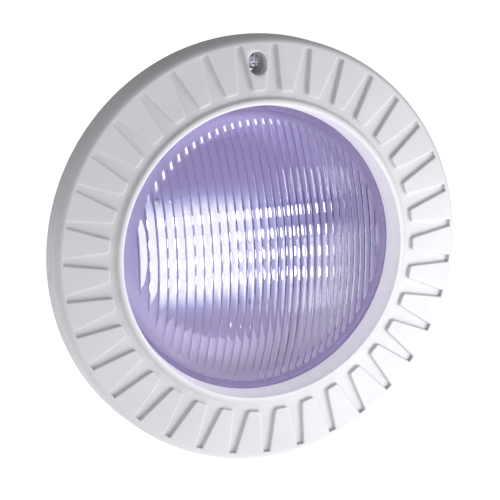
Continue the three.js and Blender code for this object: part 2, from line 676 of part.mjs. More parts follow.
const clamp = placedGroup(EAR_OUTSIDE + CLEARANCE, 0, -CLAMP_AXIS_RADIUS);
clamp.rotation.z = Math.PI / 2;
const clampWasher = washer(CLAMP_HEAD_RADIUS + 0.6, CLAMP_SCREW_RADIUS + CLEARANCE,
  -CLAMP_WASHER_THICKNESS, 0);
add('clamp_washer', clampWasher, STEEL, clamp);
const clampScrew = domedScrew(CLAMP_SCREW_RADIUS, CLAMP_SCREW_LENGTH, CLAMP_HEAD_RADIUS,
  CLAMP_HEAD_HEIGHT, 1);
add('clamp_screw', clampScrew, STEEL, clamp).position.y = -(CLAMP_WASHER_THICKNESS + CLEARANCE);

const nutFront = 2 * (EAR_OUTSIDE + CLEARANCE);
const squareNut = polygonShape(4, CLAMP_NUT_WIDTH / Math.SQRT2, CLAMP_SCREW_RADIUS + CLEARANCE);
add('clamp_nut', toSolid(plate(squareNut, nutFront, nutFront + CLAMP_NUT_THICKNESS)), STEEL, clamp);

// ---------------------------------------------------------------------------------------------
// Housing
// ---------------------------------------------------------------------------------------------

function housingShell() {
  const round = (inset) => arc([BACK_RADIUS, WAIST_DEPTH],
    [WAIST_RADIUS - BACK_RADIUS - inset, HOUSING_DEPTH - WAIST_DEPTH - inset], 0, 90, 4);
  const beadOuter = BACK_BEAD_RADIUS + BACK_BEAD_WIDTH / 2;
  const beadInner = BACK_BEAD_RADIUS - BACK_BEAD_WIDTH / 2;
  const bead = (inset) => [
    [beadOuter, HOUSING_DEPTH - inset],
    [beadOuter - BACK_BEAD_DEPTH, HOUSING_DEPTH - BACK_BEAD_DEPTH - inset],
    [beadInner + BACK_BEAD_DEPTH, HOUSING_DEPTH - BACK_BEAD_DEPTH - inset],
    [beadInner, HOUSING_DEPTH - inset],
  ];
  const hole = NECK_RADIUS + CLEARANCE;
  const outside = [
    [GASKET_RADIUS, FLANGE_FRONT],
    [GASKET_RADIUS, FLANGE_BACK],
    [THROAT_RADIUS, FLANGE_BACK],
    ...round(0),
    ...bead(0),
    [hole, HOUSING_DEPTH],
  ];
  const inside = [
    [THROAT_RADIUS - HOUSING_WALL, FLANGE_FRONT],
    ...round(HOUSING_WALL),
    ...bead(HOUSING_WALL),
    [hole, HOUSING_DEPTH - HOUSING_WALL],
  ];
  return turned([...outside, ...inside.reverse()], BODY_FACETS);
}

add('housing_shell', housingShell(), STEEL);

// ---------------------------------------------------------------------------------------------
// Light engine: reflector, LED board and emitters, heat sink
// ---------------------------------------------------------------------------------------------

const boardBack = SINK_FRONT - CLEARANCE;
const boardFront = boardBack - BOARD_THICKNESS;
const LED_SCREW_ANGLES = [60, 180, 300];
const boardScrewBore = BOARD_SCREW_RADIUS + CLEARANCE;

function reflector() {
  const mouth = coneInside(REFLECTOR_MOUTH) - 2 * CLEARANCE;
  const foot = LED_BOARD_RADIUS + CLEARANCE;
  const reflectorBase = foot + REFLECTOR_FOOT;
  const depth = boardBack - REFLECTOR_WALL - REFLECTOR_MOUTH;
  const bowl = (inset) => arc([reflectorBase, REFLECTOR_MOUTH],
    [mouth - reflectorBase - inset, depth - inset], 0, 90, 3);
  const inside = [...bowl(REFLECTOR_WALL), [foot, boardBack - 2 * REFLECTOR_WALL]];
  const outside = [[foot, boardBack - REFLECTOR_WALL], ...bowl(0).reverse()];
  return turned([...inside, ...outside], BODY_FACETS);
}

add('reflector', reflector(), MIRROR);

// The hole that the LED cable passes through.
function cableHole(front, back) {
  return toSolid(bar(CABLE_RADIUS + CLEARANCE, front - 1, back + 1, CABLE_PLACE.x, CABLE_PLACE.z));
}

function ledBoard() {
  const disc = new THREE.Shape().absarc(0, 0, LED_BOARD_RADIUS, 0, 2 * Math.PI, false);
  const cuts = LED_SCREW_ANGLES.map((angle) => {
    const { x, z } = clockPoint(LED_SCREW_CIRCLE, angle);
    return toSolid(bar(boardScrewBore, boardFront - 1, boardBack + 1, x, z));
  });
  cuts.push(cableHole(boardFront, boardBack));
  return cutBy(toSolid(plate(disc, boardFront, boardBack, 20)), cuts);
}

add('led_board', ledBoard(), WHITE_BOARD);

// One row of emitters: a flat carrier with a line of domes that face -Y.
function ledRow() {
  const middle = LED_CARRIER_THICKNESS / 2;
  const dome = arc([0, 0], [LED_RADIUS, LED_HEIGHT], 0, -90, 2);
  dome[dome.length - 1][0] = 0;
  const emitter = turnedGeometry([[0, middle], [LED_RADIUS, middle], ...dome], TINY_FACETS);
  const length = (LEDS_PER_ROW - 1) * LED_PITCH + 3 * LED_RADIUS;
  const carrier = box(length, LED_CARRIER_THICKNESS, LED_CARRIER_WIDTH, 0, middle, 0);
  const domes = Array.from({ length: LEDS_PER_ROW }, (_, i) => {
    const x = (i - (LEDS_PER_ROW - 1) / 2) * LED_PITCH;
    return toSolid(emitter.clone().translate(x, 0, 0));
  });
  return joined([toSolid(carrier), ...domes]);
}

for (let row = 0; row < LED_ROW_COUNT; row += 1) {
  const z = ((LED_ROW_COUNT - 1) / 2 - row) * LED_ROW_PITCH - LED_ROW_DROP;
  const front = boardFront - CLEARANCE - LED_CARRIER_THICKNESS;
  add(`led_row_${row + 1}`, ledRow(), LED_DOME, placedGroup(0, front, z));
}

const boardScrew = () => domedScrew(BOARD_SCREW_RADIUS, BOARD_SCREW_LENGTH, BOARD_SCREW_HEAD_RADIUS,
  BOARD_SCREW_HEAD_HEIGHT, 0, TINY_FACETS);

LED_SCREW_ANGLES.forEach((angle, i) => {
  const { x, z } = clockPoint(LED_SCREW_CIRCLE, angle);
  add(`led_board_screw_${i + 1}`, boardScrew(), STEEL, placedGroup(x, boardFront - CLEARANCE, z));
});

const STANDOFF_ANGLES = [60, 180, 300];
const sinkBack = SINK_FRONT + SINK_THICKNESS;

function heatSink() {
  const wall = CLEARANCE;
  const disc = turned([
    [0, SINK_FRONT],
    [coneInside(SINK_FRONT) - wall, SINK_FRONT],
    [coneInside(sinkBack) - wall, sinkBack],
    [0, sinkBack],
  ], BODY_FACETS);
  const fins = Array.from({ length: FIN_COUNT }, (_, i) => {
    const x = (i - (FIN_COUNT - 1) / 2) * FIN_PITCH;
    const height = 2 * Math.sqrt(FIN_CIRCLE ** 2 - x ** 2);
    return toSolid(box(FIN_THICKNESS, FIN_DEPTH + 1, height, x, sinkBack + (FIN_DEPTH - 1) / 2, 0));
  });
  const bores = LED_SCREW_ANGLES.map((angle) => {
    const { x, z } = clockPoint(LED_SCREW_CIRCLE, angle);
    return toSolid(bar(boardScrewBore, SINK_FRONT - 1, sinkBack + FIN_DEPTH + 1, x, z));
  });
  bores.push(cableHole(SINK_FRONT, sinkBack));
  return cutBy(joined([disc, ...fins]), bores);
}

add('heat_sink', heatSink(), ALUMINIUM);

// ---------------------------------------------------------------------------------------------
// Driver
// ---------------------------------------------------------------------------------------------

const driverFront = DRIVER_DEPTH;
const driverBack = driverFront + BOARD_THICKNESS;
const partSeat = driverBack + CLEARANCE;

const cable = bar(CABLE_RADIUS, boardFront, driverFront - CLEARANCE, CABLE_PLACE.x, CABLE_PLACE.z);
add('led_cable', toSolid(cable), BLACK_RUBBER);

function driverBoard() {
  const disc = new THREE.Shape().absarc(0, 0, DRIVER_RADIUS, 0, 2 * Math.PI, false);
  const holes = STANDOFF_ANGLES.map((angle) => {
    const { x, z } = clockPoint(STANDOFF_CIRCLE, angle);
    return toSolid(bar(boardScrewBore, driverFront - 1, driverBack + 1, x, z));
  });
  return cutBy(toSolid(plate(disc, driverFront, driverBack, 20)), holes);
}

add('driver_board', driverBoard(), GREEN_BOARD);

STANDOFF_ANGLES.forEach((angle, i) => {
  const { x, z } = clockPoint(STANDOFF_CIRCLE, angle);
  const standoff = placedGroup(x, 0, z);
  add(`standoff_${i + 1}`, washer(STANDOFF_RADIUS, boardScrewBore, sinkBack + CLEARANCE,
    driverFront - CLEARANCE, SCREW_FACETS), BRASS, standoff);
  const driverScrew = add(`driver_screw_${i + 1}`, boardScrew(), STEEL, standoff);
  driverScrew.position.y = partSeat;
  driverScrew.rotation.x = Math.PI;
});

// Parts on the back of the driver board, round the space that the gland reaches into.
function transformer() {
  const width = 30;
  const depth = 18;
  const height = 26;
  const core = box(width, depth, height, 0, depth / 2, 0);
  const winding = box(width * 0.6, depth * 0.7, height + 8, 0, depth * 0.45, 0);
  return toSolid(core).add(toSolid(winding));
}

add('transformer', transformer(), DARK_PLASTIC, placedGroup(-38, partSeat, 0));

[22, -22].forEach((z, i) => {
  const capacitor = turned([[0, 0], [8, 0], [8, 19], [7, 20], [0, 20]], SMALL_FACETS);
  add(`capacitor_${i + 1}`, capacitor, DARK_PLASTIC, placedGroup(34, partSeat, z));
});

const choke = new THREE.TorusGeometry(8, 4, 8, SMALL_FACETS);
choke.rotateX(Math.PI / 2);
choke.translate(0, 4, 0);
add('choke', toSolid(choke), COPPER, placedGroup(0, partSeat, 44));

const terminalHoles = [-9, 0, 9].map((x) => toSolid(bar(2, 6, 13, x, 0)));
const terminalBlock = cutBy(toSolid(box(28, 12, 10, 0, 6, 0)), terminalHoles);
add('terminal_block', terminalBlock, WHITE_BOARD, placedGroup(0, partSeat, -42));

// Safety earth on the back wall, between the bead and the rounded corner.
const groundPlace = { x: 36, z: 38 };
const studBack = HOUSING_DEPTH - HOUSING_WALL - CLEARANCE;
const ground = placedGroup(groundPlace.x, studBack, groundPlace.z);
const stud = turned([[0, 0], [4, 0], [4, -1.5], [2, -1.5], [2, -9], [1.4, -9.6], [0, -9.6]], SCREW_FACETS);
add('ground_stud', stud, BRASS, ground);
add('ground_nut', toSolid(plate(polygonShape(6, 4, 2 + CLEARANCE), -5, -1.8)), BRASS, ground);

// ---------------------------------------------------------------------------------------------
// Cord gland
// ---------------------------------------------------------------------------------------------

const flangeFront = HOUSING_DEPTH + O_RING_THICKNESS + 2 * CLEARANCE;
const flangeBack = flangeFront + GLAND_FLANGE_THICKNESS;
const neckEnd = flangeBack + NECK_LENGTH;
const neckStart = HOUSING_DEPTH - NECK_INNER_LENGTH;
const socketFloor = neckEnd - SOCKET_DEPTH;
const grommetEnd = neckEnd - SLIP_WASHER_THICKNESS - CLEARANCE;

function glandBody() {
  return turned([
    [CORD_BORE, neckStart],
    [NECK_RADIUS, neckStart],
    [NECK_RADIUS, flangeFront],
    [GLAND_FLANGE_RADIUS, flangeFront],
    [GLAND_FLANGE_RADIUS, flangeBack],
    [NECK_RADIUS, flangeBack],
    [NECK_RADIUS, neckEnd],
    [SOCKET_RADIUS, neckEnd],
    [SOCKET_RADIUS, socketFloor],
    [CORD_BORE, socketFloor],
  ], GLAND_FACETS);
}

add('gland_body', glandBody(), BRASS);

const ringRoom = NECK_RADIUS + CLEARANCE;
const oRingFront = HOUSING_DEPTH + CLEARANCE;
add('gland_o_ring', washer(ringRoom + 3.5, ringRoom, oRingFront, oRingFront + O_RING_THICKNESS, GLAND_FACETS),
  BLACK_RUBBER);

const lockNutBack = HOUSING_DEPTH - HOUSING_WALL - CLEARANCE;
const hexagon = polygonShape(6, (ringRoom + LOCK_NUT_WALL) / HEXAGON, ringRoom);
add('gland_lock_nut', toSolid(plate(hexagon, lockNutBack - LOCK_NUT_THICKNESS, lockNutBack, 8)), BRASS);

const socketFit = SOCKET_RADIUS - CLEARANCE;
const cordGrommet = washer(socketFit, CORD_BORE, socketFloor + CLEARANCE, grommetEnd - CLEARANCE,
  GLAND_FACETS);
add('cord_grommet', cordGrommet, BLACK_RUBBER);
add('slip_washer', washer(socketFit, CORD_BORE, grommetEnd, neckEnd - CLEARANCE, GLAND_FACETS), STEEL);

function glandNut() {
  const cap = neckEnd + CLEARANCE;
  const start = neckEnd - NECK_LENGTH + 3;
  const outside = toSolid(plate(polygonShape(6, GLAND_NUT_RADIUS), start, cap + GLAND_NUT_END));
  const thread = bar(NECK_RADIUS + CLEARANCE, start - 1, cap, 0, 0, GLAND_FACETS);
  const hole = bar(CORD_BORE + CLEARANCE, start - 1, cap + GLAND_NUT_END + 1, 0, 0, GLAND_FACETS);
  const chamferReach = GLAND_NUT_RADIUS + 1;
  const end = cap + GLAND_NUT_END;
  const chamfer = turned([
    [0, start - 1],
    [chamferReach, start - 1],
    [chamferReach, end - 2],
    [chamferReach - 3, end],
    [0, end],
  ], GLAND_FACETS);
  return cutBy(outside.intersect(chamfer), [thread, hole].map(toSolid));
}

add('gland_nut', glandNut(), BRASS);

export default light;
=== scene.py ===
# %% [markdown]
# # An underwater pool light, finished in Blender
#
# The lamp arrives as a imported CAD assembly: a white face ring, a domed glass lens with upright
# flutes, a steel housing behind it, a row-by-row LED engine inside, and a brass cord gland.
# The frame is in metres. The lamp's axis is Y, the lens faces -Y, and Z is up.
# Each lesson below takes one piece or finish: what it is, how it could be made, and why this way.

import math

import bmesh
import bpy
import numpy as np
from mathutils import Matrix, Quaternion, Vector


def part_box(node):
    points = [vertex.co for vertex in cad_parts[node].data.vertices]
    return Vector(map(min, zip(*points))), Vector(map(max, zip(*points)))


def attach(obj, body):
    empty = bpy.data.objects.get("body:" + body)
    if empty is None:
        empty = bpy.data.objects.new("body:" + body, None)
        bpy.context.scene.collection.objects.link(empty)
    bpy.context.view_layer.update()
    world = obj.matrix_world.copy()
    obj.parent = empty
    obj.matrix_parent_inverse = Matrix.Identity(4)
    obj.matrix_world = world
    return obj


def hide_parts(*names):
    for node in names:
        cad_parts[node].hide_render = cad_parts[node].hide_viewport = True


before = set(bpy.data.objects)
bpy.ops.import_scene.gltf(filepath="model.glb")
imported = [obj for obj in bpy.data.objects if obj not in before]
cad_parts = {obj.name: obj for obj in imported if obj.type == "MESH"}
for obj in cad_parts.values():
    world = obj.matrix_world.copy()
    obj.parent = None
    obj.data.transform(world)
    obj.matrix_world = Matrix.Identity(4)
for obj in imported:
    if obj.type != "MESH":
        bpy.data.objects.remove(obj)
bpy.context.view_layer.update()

# %% [markdown]
# ## The camera
# The lamp is seen from its left and a little above, from far enough away that its round face is
# only slightly narrowed. A long lens at 1.77 m gives that. The camera aims at the middle of the
# ring's front edge, a hair off centre, so no lens shift is needed. It is rolled by 1.5 degrees.

# %% Place the camera
MM = 0.001
AZIMUTH, ELEVATION, DISTANCE = math.radians(-21.22), math.radians(11.72), 1.77
ROLL = -1.5
away = Vector((math.sin(AZIMUTH) * math.cos(ELEVATION), -math.cos(AZIMUTH) * math.cos(ELEVATION),
               math.sin(ELEVATION)))
camera = bpy.data.objects.new("camera", bpy.data.cameras.new("camera"))
bpy.context.scene.collection.objects.link(camera)
camera.data.lens, camera.data.sensor_width, camera.data.clip_end = 200.5, 36, 60
turn = (-away).to_track_quat("-Z", "Y") @ Quaternion((0, 0, 1), math.radians(ROLL))
aim = Vector((0, -14.5 * MM, 0)) + turn @ Vector((-5.1 * MM, -0.4 * MM, 0))
camera.rotation_mode = "QUATERNION"
camera.location, camera.rotation_quaternion = aim + away * DISTANCE, turn
bpy.context.scene.camera = camera
print("camera at", tuple(round(c, 3) for c in camera.location))

# %% [markdown]
# ## Points into meshes
# Nearly every piece here is a grid of points worked out with numpy: one parameter runs along a
# section and the other carries it round the axis. One helper turns grids into a closed mesh.
# It merges the points that meet at seams and poles, then turns all faces outwards.

# %% Helpers for meshes
def grid_faces(rows, columns, wrap_rows, wrap_columns, first):
    """Four corner numbers for each cell of a grid of points; a wrapped side joins last to first."""
    index = first + np.arange(rows * columns).reshape(rows, columns)
    if wrap_rows:
        index = np.vstack([index, index[:1]])
    if wrap_columns:
        index = np.hstack([index, index[:, :1]])
    cells = [index[:-1, :-1], index[:-1, 1:], index[1:, 1:], index[1:, :-1]]
    return np.stack(cells, -1).reshape(-1, 4)


def mesh_object(name, grids, sharp=35):
    """One mesh from several (points in mm, wrap_rows, wrap_columns) grids, closed and outward."""
    faces, first = [], 0
    for points, wrap_rows, wrap_columns in grids:
        rows, columns = points.shape[:2]
        faces.append(grid_faces(rows, columns, wrap_rows, wrap_columns, first))
        first += rows * columns
    corners = np.concatenate([points.reshape(-1, 3) for points, _, _ in grids]) * MM
    faces = np.concatenate(faces)
    mesh = bpy.data.meshes.new(name)
    mesh.vertices.add(len(corners))
    mesh.vertices.foreach_set("co", corners.astype(np.float32).ravel())
    mesh.loops.add(faces.size)
    mesh.loops.foreach_set("vertex_index", faces.ravel())
    mesh.polygons.add(len(faces))
    mesh.polygons.foreach_set("loop_start", np.arange(0, faces.size, 4))
    mesh.update(calc_edges=True)
    built = bmesh.new()
    built.from_mesh(mesh)
    bmesh.ops.remove_doubles(built, verts=built.verts, dist=1e-6)
    bmesh.ops.recalc_face_normals(built, faces=built.faces)
    built.to_mesh(mesh)
    built.free()
    smooth(mesh, sharp)
    piece = bpy.data.objects.new(name, mesh)
    bpy.context.scene.collection.objects.link(piece)
    return piece


def smooth(mesh, sharp=35):
    """Smooth shading that still breaks where two faces meet at more than this many degrees."""
    mesh.polygons.foreach_set("use_smooth", np.ones(len(mesh.polygons), bool))
    mesh.set_sharp_from_angle(angle=math.radians(sharp))


def settle(piece, node, body, finish):
    """The piece stands for its CAD node, moves with its body, and wears its finish."""
    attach(piece, body)
    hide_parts(node)
    piece.data.materials.clear()
    piece.data.materials.append(finish)
    print(piece.name, len(piece.data.polygons), "faces")
    return piece


# %% [markdown]
# ## Sections and how they are carried round
# Moulded, cast and pressed edges are never knife sharp. `rounded` swaps each corner of a section
# for a short curve, and `turned` carries the section round the axis. The same helper makes
# hexagons: it lets no point lie further out than the hexagon's side.

# %% Helpers for sections
def rounded(section, radius, steps=4, closed=True):
    """Each corner becomes a quadratic curve whose ends lie `radius` along both of its sides."""
    corner = np.asarray(section, float)
    before, after = np.roll(corner, 1, 0) - corner, np.roll(corner, -1, 0) - corner
    reach_before = np.linalg.norm(before, axis=1, keepdims=True)
    reach_after = np.linalg.norm(after, axis=1, keepdims=True)
    cut = np.broadcast_to(np.asarray(radius, float).reshape(-1, 1), (len(corner), 1)).copy()
    cut = np.minimum(cut, 0.45 * np.minimum(reach_before, reach_after))
    if not closed:
        cut[[0, -1]] = 0
    start = corner + before / np.maximum(reach_before, 1e-9) * cut
    stop = corner + after / np.maximum(reach_after, 1e-9) * cut
    t = np.linspace(0, 1, steps + 1)[None, :, None]
    curve = (1 - t) ** 2 * start[:, None] + 2 * t * (1 - t) * corner[:, None] + t**2 * stop[:, None]
    return curve.reshape(-1, 2)


def ellipse(centre, semi, start, stop, steps=16):
    """Points at centre + (semi_r cos a, semi_y sin a) for angles a in degrees."""
    angle = np.radians(np.linspace(start, stop, steps + 1))
    return np.stack([centre[0] + semi[0] * np.cos(angle), centre[1] + semi[1] * np.sin(angle)], -1)


def turned(section, columns=128, apothem=None, closed=True, angles=None):
    """Carries (radius, depth) points round Y: x = r sin a, z = r cos a. With an apothem, r is at
    most apothem / cos(angle from the nearest flat), so the outline is a hexagon with chamfers."""
    section = np.asarray(section, float)
    angle = np.arange(columns) * 2 * np.pi / columns if angles is None else angles
    columns = len(angle)
    radius = np.repeat(section[:, :1], columns, 1)
    if apothem:
        flat = np.mod(angle + np.pi / 6, np.pi / 3) - np.pi / 6
        radius = np.minimum(radius, apothem / np.cos(flat)[None])
    depth = np.repeat(section[:, 1:], columns, 1)
    return np.stack([radius * np.sin(angle), depth, radius * np.cos(angle)], -1), closed, True


FORWARD = np.eye(3)
BACKWARD = np.diag([1.0, -1.0, -1.0])
SIDEWAYS = np.array([[0.0, -1, 0], [1, 0, 0], [0, 0, 1]])


def placed(grid, origin, facing=FORWARD):
    """Turns a grid made about the origin to face another way and moves it to its place."""
    points, wrap_rows, wrap_columns = grid
    return points @ facing.T + np.asarray(origin, float), wrap_rows, wrap_columns


# %% [markdown]
# ## Finishes
# Every finish is a small node tree on Object coordinates, so nothing slides when a piece moves.
# Noise gives each one its grain, its roughness changes and a fine bump. Numbers that are the same
# everywhere are typed into the shader's own sockets.

# %% Helpers for finishes
def new_finish(name, color, roughness, metallic=0.0):
    """A Principled material, with its node tree, shader and Object coordinates."""
    material = bpy.data.materials.new(name)
    material.use_nodes = True
    tree = material.node_tree
    shader = tree.nodes["Principled BSDF"]
    shader.inputs["Base Color"].default_value = (*color, 1)
    shader.inputs["Roughness"].default_value = roughness
    shader.inputs["Metallic"].default_value = metallic
    return material, tree, shader, tree.nodes.new("ShaderNodeTexCoord").outputs["Object"]


def stretched(tree, coords, scale):
    """The coordinates multiplied along each axis, so noise becomes lines."""
    node = tree.nodes.new("ShaderNodeMapping")
    node.inputs["Scale"].default_value = scale
    tree.links.new(coords, node.inputs["Vector"])
    return node.outputs["Vector"]


def noise(tree, coords, scale, detail=3.0):
    node = tree.nodes.new("ShaderNodeTexNoise")
    node.inputs["Scale"].default_value = scale
    node.inputs["Detail"].default_value = detail
    tree.links.new(coords, node.inputs["Vector"])
    return node.outputs["Fac"]


def ramp(tree, value, *stops):
    """Colours at places from 0 to 1, blended in between."""
    node = tree.nodes.new("ShaderNodeValToRGB")
    tree.links.new(value, node.inputs["Fac"])
    elements = node.color_ramp.elements
    while len(elements) < len(stops):
        elements.new(0.5)
    for element, (place, color) in zip(elements, stops):
        element.position, element.color = place, (*color, 1)
    return node.outputs["Color"]


def spread(tree, value, low, high, to_low, to_high):
    """Maps a value's range smoothly to another."""
    node = tree.nodes.new("ShaderNodeMapRange")
    node.interpolation_type = "SMOOTHSTEP"
    sockets = ("From Min", "From Max", "To Min", "To Max")
    for socket, number in zip(sockets, (low, high, to_low, to_high)):
        node.inputs[socket].default_value = number
    tree.links.new(value, node.inputs["Value"])
    return node.outputs["Result"]


def calculate(tree, operation, first, second=None):
    node = tree.nodes.new("ShaderNodeMath")
    node.operation = operation
    for socket, value in zip(node.inputs, (first, second)):
        if isinstance(value, (int, float)):
            socket.default_value = value
        elif value is not None:
            tree.links.new(value, socket)
    return node.outputs[0]


def bumped(tree, shader, height, strength, distance=0.0002):
    node = tree.nodes.new("ShaderNodeBump")
    node.inputs["Strength"].default_value = strength
    node.inputs["Distance"].default_value = distance
    tree.links.new(height, node.inputs["Height"])
    tree.links.new(node.outputs["Normal"], shader.inputs["Normal"])


def round_coords(tree, coords):
    """(distance from the lamp's axis, depth, 0): noise on this draws rings, as a lathe does."""
    parts = tree.nodes.new("ShaderNodeSeparateXYZ")
    tree.links.new(coords, parts.inputs[0])
    square = [calculate(tree, "MULTIPLY", parts.outputs[i], parts.outputs[i]) for i in (0, 2)]
    radius = calculate(tree, "SQRT", calculate(tree, "ADD", *square))
    joined = tree.nodes.new("ShaderNodeCombineXYZ")
    tree.links.new(radius, joined.inputs[0])
    tree.links.new(parts.outputs[1], joined.inputs[1])
    return joined.outputs[0], parts.outputs, radius


# %% [markdown]
# ### Moulded white plastic
# The ring is injection-moulded, UV-stable white plastic. It has a satin skin, a very faint
# cloudiness, and the fine orange-peel of a used mould. Its throat carries painted light: emission
# that stands in for the lens's light spilling on it.

# %% Ring plastic
def ring_plastic_finish():
    material, tree, shader, coords = new_finish("ring_plastic", (0.62, 0.612, 0.64), 0.42)
    cloud = noise(tree, coords, 22, 4)
    tint = ramp(tree, cloud, (0.3, (0.60, 0.59, 0.62)), (0.7, (0.64, 0.635, 0.665)))
    tree.links.new(tint, shader.inputs["Base Color"])
    gloss = spread(tree, noise(tree, coords, 160, 2), 0.3, 0.7, 0.38, 0.5)
    tree.links.new(gloss, shader.inputs["Roughness"])
    # Painted light: emission on the throat stands in for the lens's light spilling there.
    painted_throat_light = spread(tree, round_coords(tree, coords)[2], 0.0925, 0.0972, 0.42, 0)
    tree.links.new(painted_throat_light, shader.inputs["Emission Strength"])
    shader.inputs["Emission Color"].default_value = (0.93, 0.9, 1, 1)
    bumped(tree, shader, noise(tree, coords, 1400, 2), 0.12, 0.0001)
    return material


RING_PLASTIC = ring_plastic_finish()

# %% [markdown]
# ### Stainless steel, drawn and rolled
# The housing and clamp band are deep-drawn and rolled, so fine lines run round them. The clips,
# hook and screws are small pressings, with a short straight grain.

# %% Stainless finishes
def steel_finish(name, lines, color=(0.60, 0.60, 0.62)):
    """`lines` is 'round' for drawn shells, or 'straight' for pressed strip."""
    material, tree, shader, coords = new_finish(name, color, 0.3, 1.0)
    if lines == "round":
        grain = noise(tree, round_coords(tree, coords)[0], 1500, 2)
    else:
        grain = noise(tree, stretched(tree, coords, (1, 12, 12)), 260, 3)
    stain = noise(tree, coords, 18, 4)
    darker = tuple(c * 0.82 for c in color)
    tree.links.new(ramp(tree, stain, (0.3, darker), (0.65, color)), shader.inputs["Base Color"])
    tree.links.new(spread(tree, grain, 0.3, 0.7, 0.22, 0.42), shader.inputs["Roughness"])
    bumped(tree, shader, grain, 0.25, 0.00006)
    return material


DRAWN_STEEL = steel_finish("drawn_stainless", "round")
PRESSED_STEEL = steel_finish("pressed_stainless", "straight", (0.56, 0.56, 0.58))
SCREW_STEEL = steel_finish("screw_stainless", "straight", (0.68, 0.67, 0.74))

# %% [markdown]
# ### Lens glass
# The lens is pressed soda-lime glass, thick, with a faint lavender cast from the light inside.
# It is real refracting glass, so that each flute shows its own small picture of the LED rows.

# %% Glass
def glass_finish():
    material, tree, shader, coords = new_finish("lens_glass", (0.955, 0.94, 1.0), 0.03)
    shader.inputs["Transmission Weight"].default_value = 1
    shader.inputs["IOR"].default_value = 1.47
    wave = noise(tree, stretched(tree, coords, (1, 1, 0.35)), 90, 2)
    bumped(tree, shader, wave, 0.15, 0.0006)
    return material


LENS_GLASS = glass_finish()

# %% [markdown]
# The dark upright lines that the valleys between the flutes show against the lit board are painted
# shade: the glass is darkened along each valley, most in front of the lit rows. The fluted front
# therefore gets its own copy of the glass, darkened by the distance to a valley and carrying
# painted glints at the flutes' upper ends.

# %% Fluted glass
FLUTE_CIRCLE, FLUTE_PITCH, FLUTE_DEPTH = 84.5, 5.2, 0.52


def fluted_glass_finish():
    """Painted shade: dark where |x / pitch - nearest whole number - 1/2| is small, and clear
    elsewhere, darkest in front of the lit rows. Painted highlights: short bright dashes of emission
    at the ribs' upper ends, strongest at the top left."""
    material = LENS_GLASS.copy()
    material.name = "lens_glass_fluted"
    tree = material.node_tree
    shader = tree.nodes["Principled BSDF"]
    coords = tree.nodes["Texture Coordinate"].outputs["Object"]
    _, parts, radius = round_coords(tree, coords)
    # Painted shade: dark lines along the flute valleys, darkest in front of the lit rows.
    phase = calculate(tree, "FRACT", calculate(tree, "MULTIPLY", parts[0], 1 / (FLUTE_PITCH * MM)))
    off_valley = calculate(tree, "ABSOLUTE", calculate(tree, "SUBTRACT", phase, 0.5))
    painted_valley_shade = spread(tree, off_valley, 0.07, 0.16, 1, 0)
    within = spread(tree, radius, (FLUTE_CIRCLE - 2.5) * MM, (FLUTE_CIRCLE - 1) * MM, 1, 0)
    height = calculate(tree, "ABSOLUTE", calculate(tree, "SUBTRACT", parts[2], 0.006))
    facing = spread(tree, height, 0.026, 0.040, 1, 0.38)
    painted_light_mask = calculate(tree, "MULTIPLY", calculate(tree, "MULTIPLY", painted_valley_shade, within), facing)
    color = ramp(tree, painted_light_mask, (0, (0.955, 0.94, 1.0)), (0.38, (0.62, 0.60, 0.78)),
                 (1, (0.13, 0.12, 0.22)))
    tree.links.new(color, shader.inputs["Base Color"])
    # Painted highlights: bright dashes of emission at the ribs' upper ends, mostly at the top left.
    from_end = calculate(tree, "SUBTRACT", radius, (FLUTE_CIRCLE - 2.2) * MM)
    end = calculate(tree, "ABSOLUTE", from_end)
    painted_glint = calculate(tree, "MULTIPLY", spread(tree, end, 0.0010, 0.0020, 1, 0),
                     spread(tree, off_valley, 0.33, 0.43, 0, 1))
    painted_glint_area = calculate(tree, "MULTIPLY", spread(tree, parts[2], 0.03, 0.055, 0, 1),
                      spread(tree, parts[0], 0.0, 0.025, 1, 0.1))
    tree.links.new(calculate(tree, "MULTIPLY", painted_glint, painted_glint_area), shader.inputs["Emission Strength"])
    shader.inputs["Emission Color"].default_value = (0.95, 0.93, 1, 1)
    return material


FLUTED_GLASS = fluted_glass_finish()

# %% [markdown]
# The flange that sits in the gasket is ground, not clear. A painted glow of emission stands in for
# light from inside, so the lens ends in a thin pale line and no dark gap shows behind its edge.

# %% Ground glass
def ground_glass_finish():
    material, tree, shader, coords = new_finish("lens_glass_ground", (0.36, 0.34, 0.42), 0.6)
    cloud = noise(tree, coords, 60, 3)
    # Painted light: an emission glow stands in for light from inside reaching the flange.
    painted_glow = ramp(tree, cloud, (0.3, (0.15, 0.12, 0.24)), (0.7, (0.19, 0.155, 0.28)))
    tree.links.new(painted_glow, shader.inputs["Emission Color"])
    shader.inputs["Emission Strength"].default_value = 0.9
    bumped(tree, shader, noise(tree, coords, 1500, 2), 0.3)
    return material


GROUND_GLASS = ground_glass_finish()

# %% [markdown]
# ### The light inside
# The emitters are the brightest thing in the scene. Their light on the white board between the
# rows is painted light: emission that is white within the band of rows and falls off to violet,
# and the mirrored bowl carries a painted violet glow. This emission depends only on the place on
# the board, so it stays put from every side.

# %% Emitting finishes
ROW_DROP = -sum(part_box(f"led_row_{row}")[k][2] for row in (1, 4) for k in (0, 1)) / 4 / MM
VIOLET = (0.15, 0.12, 0.255)


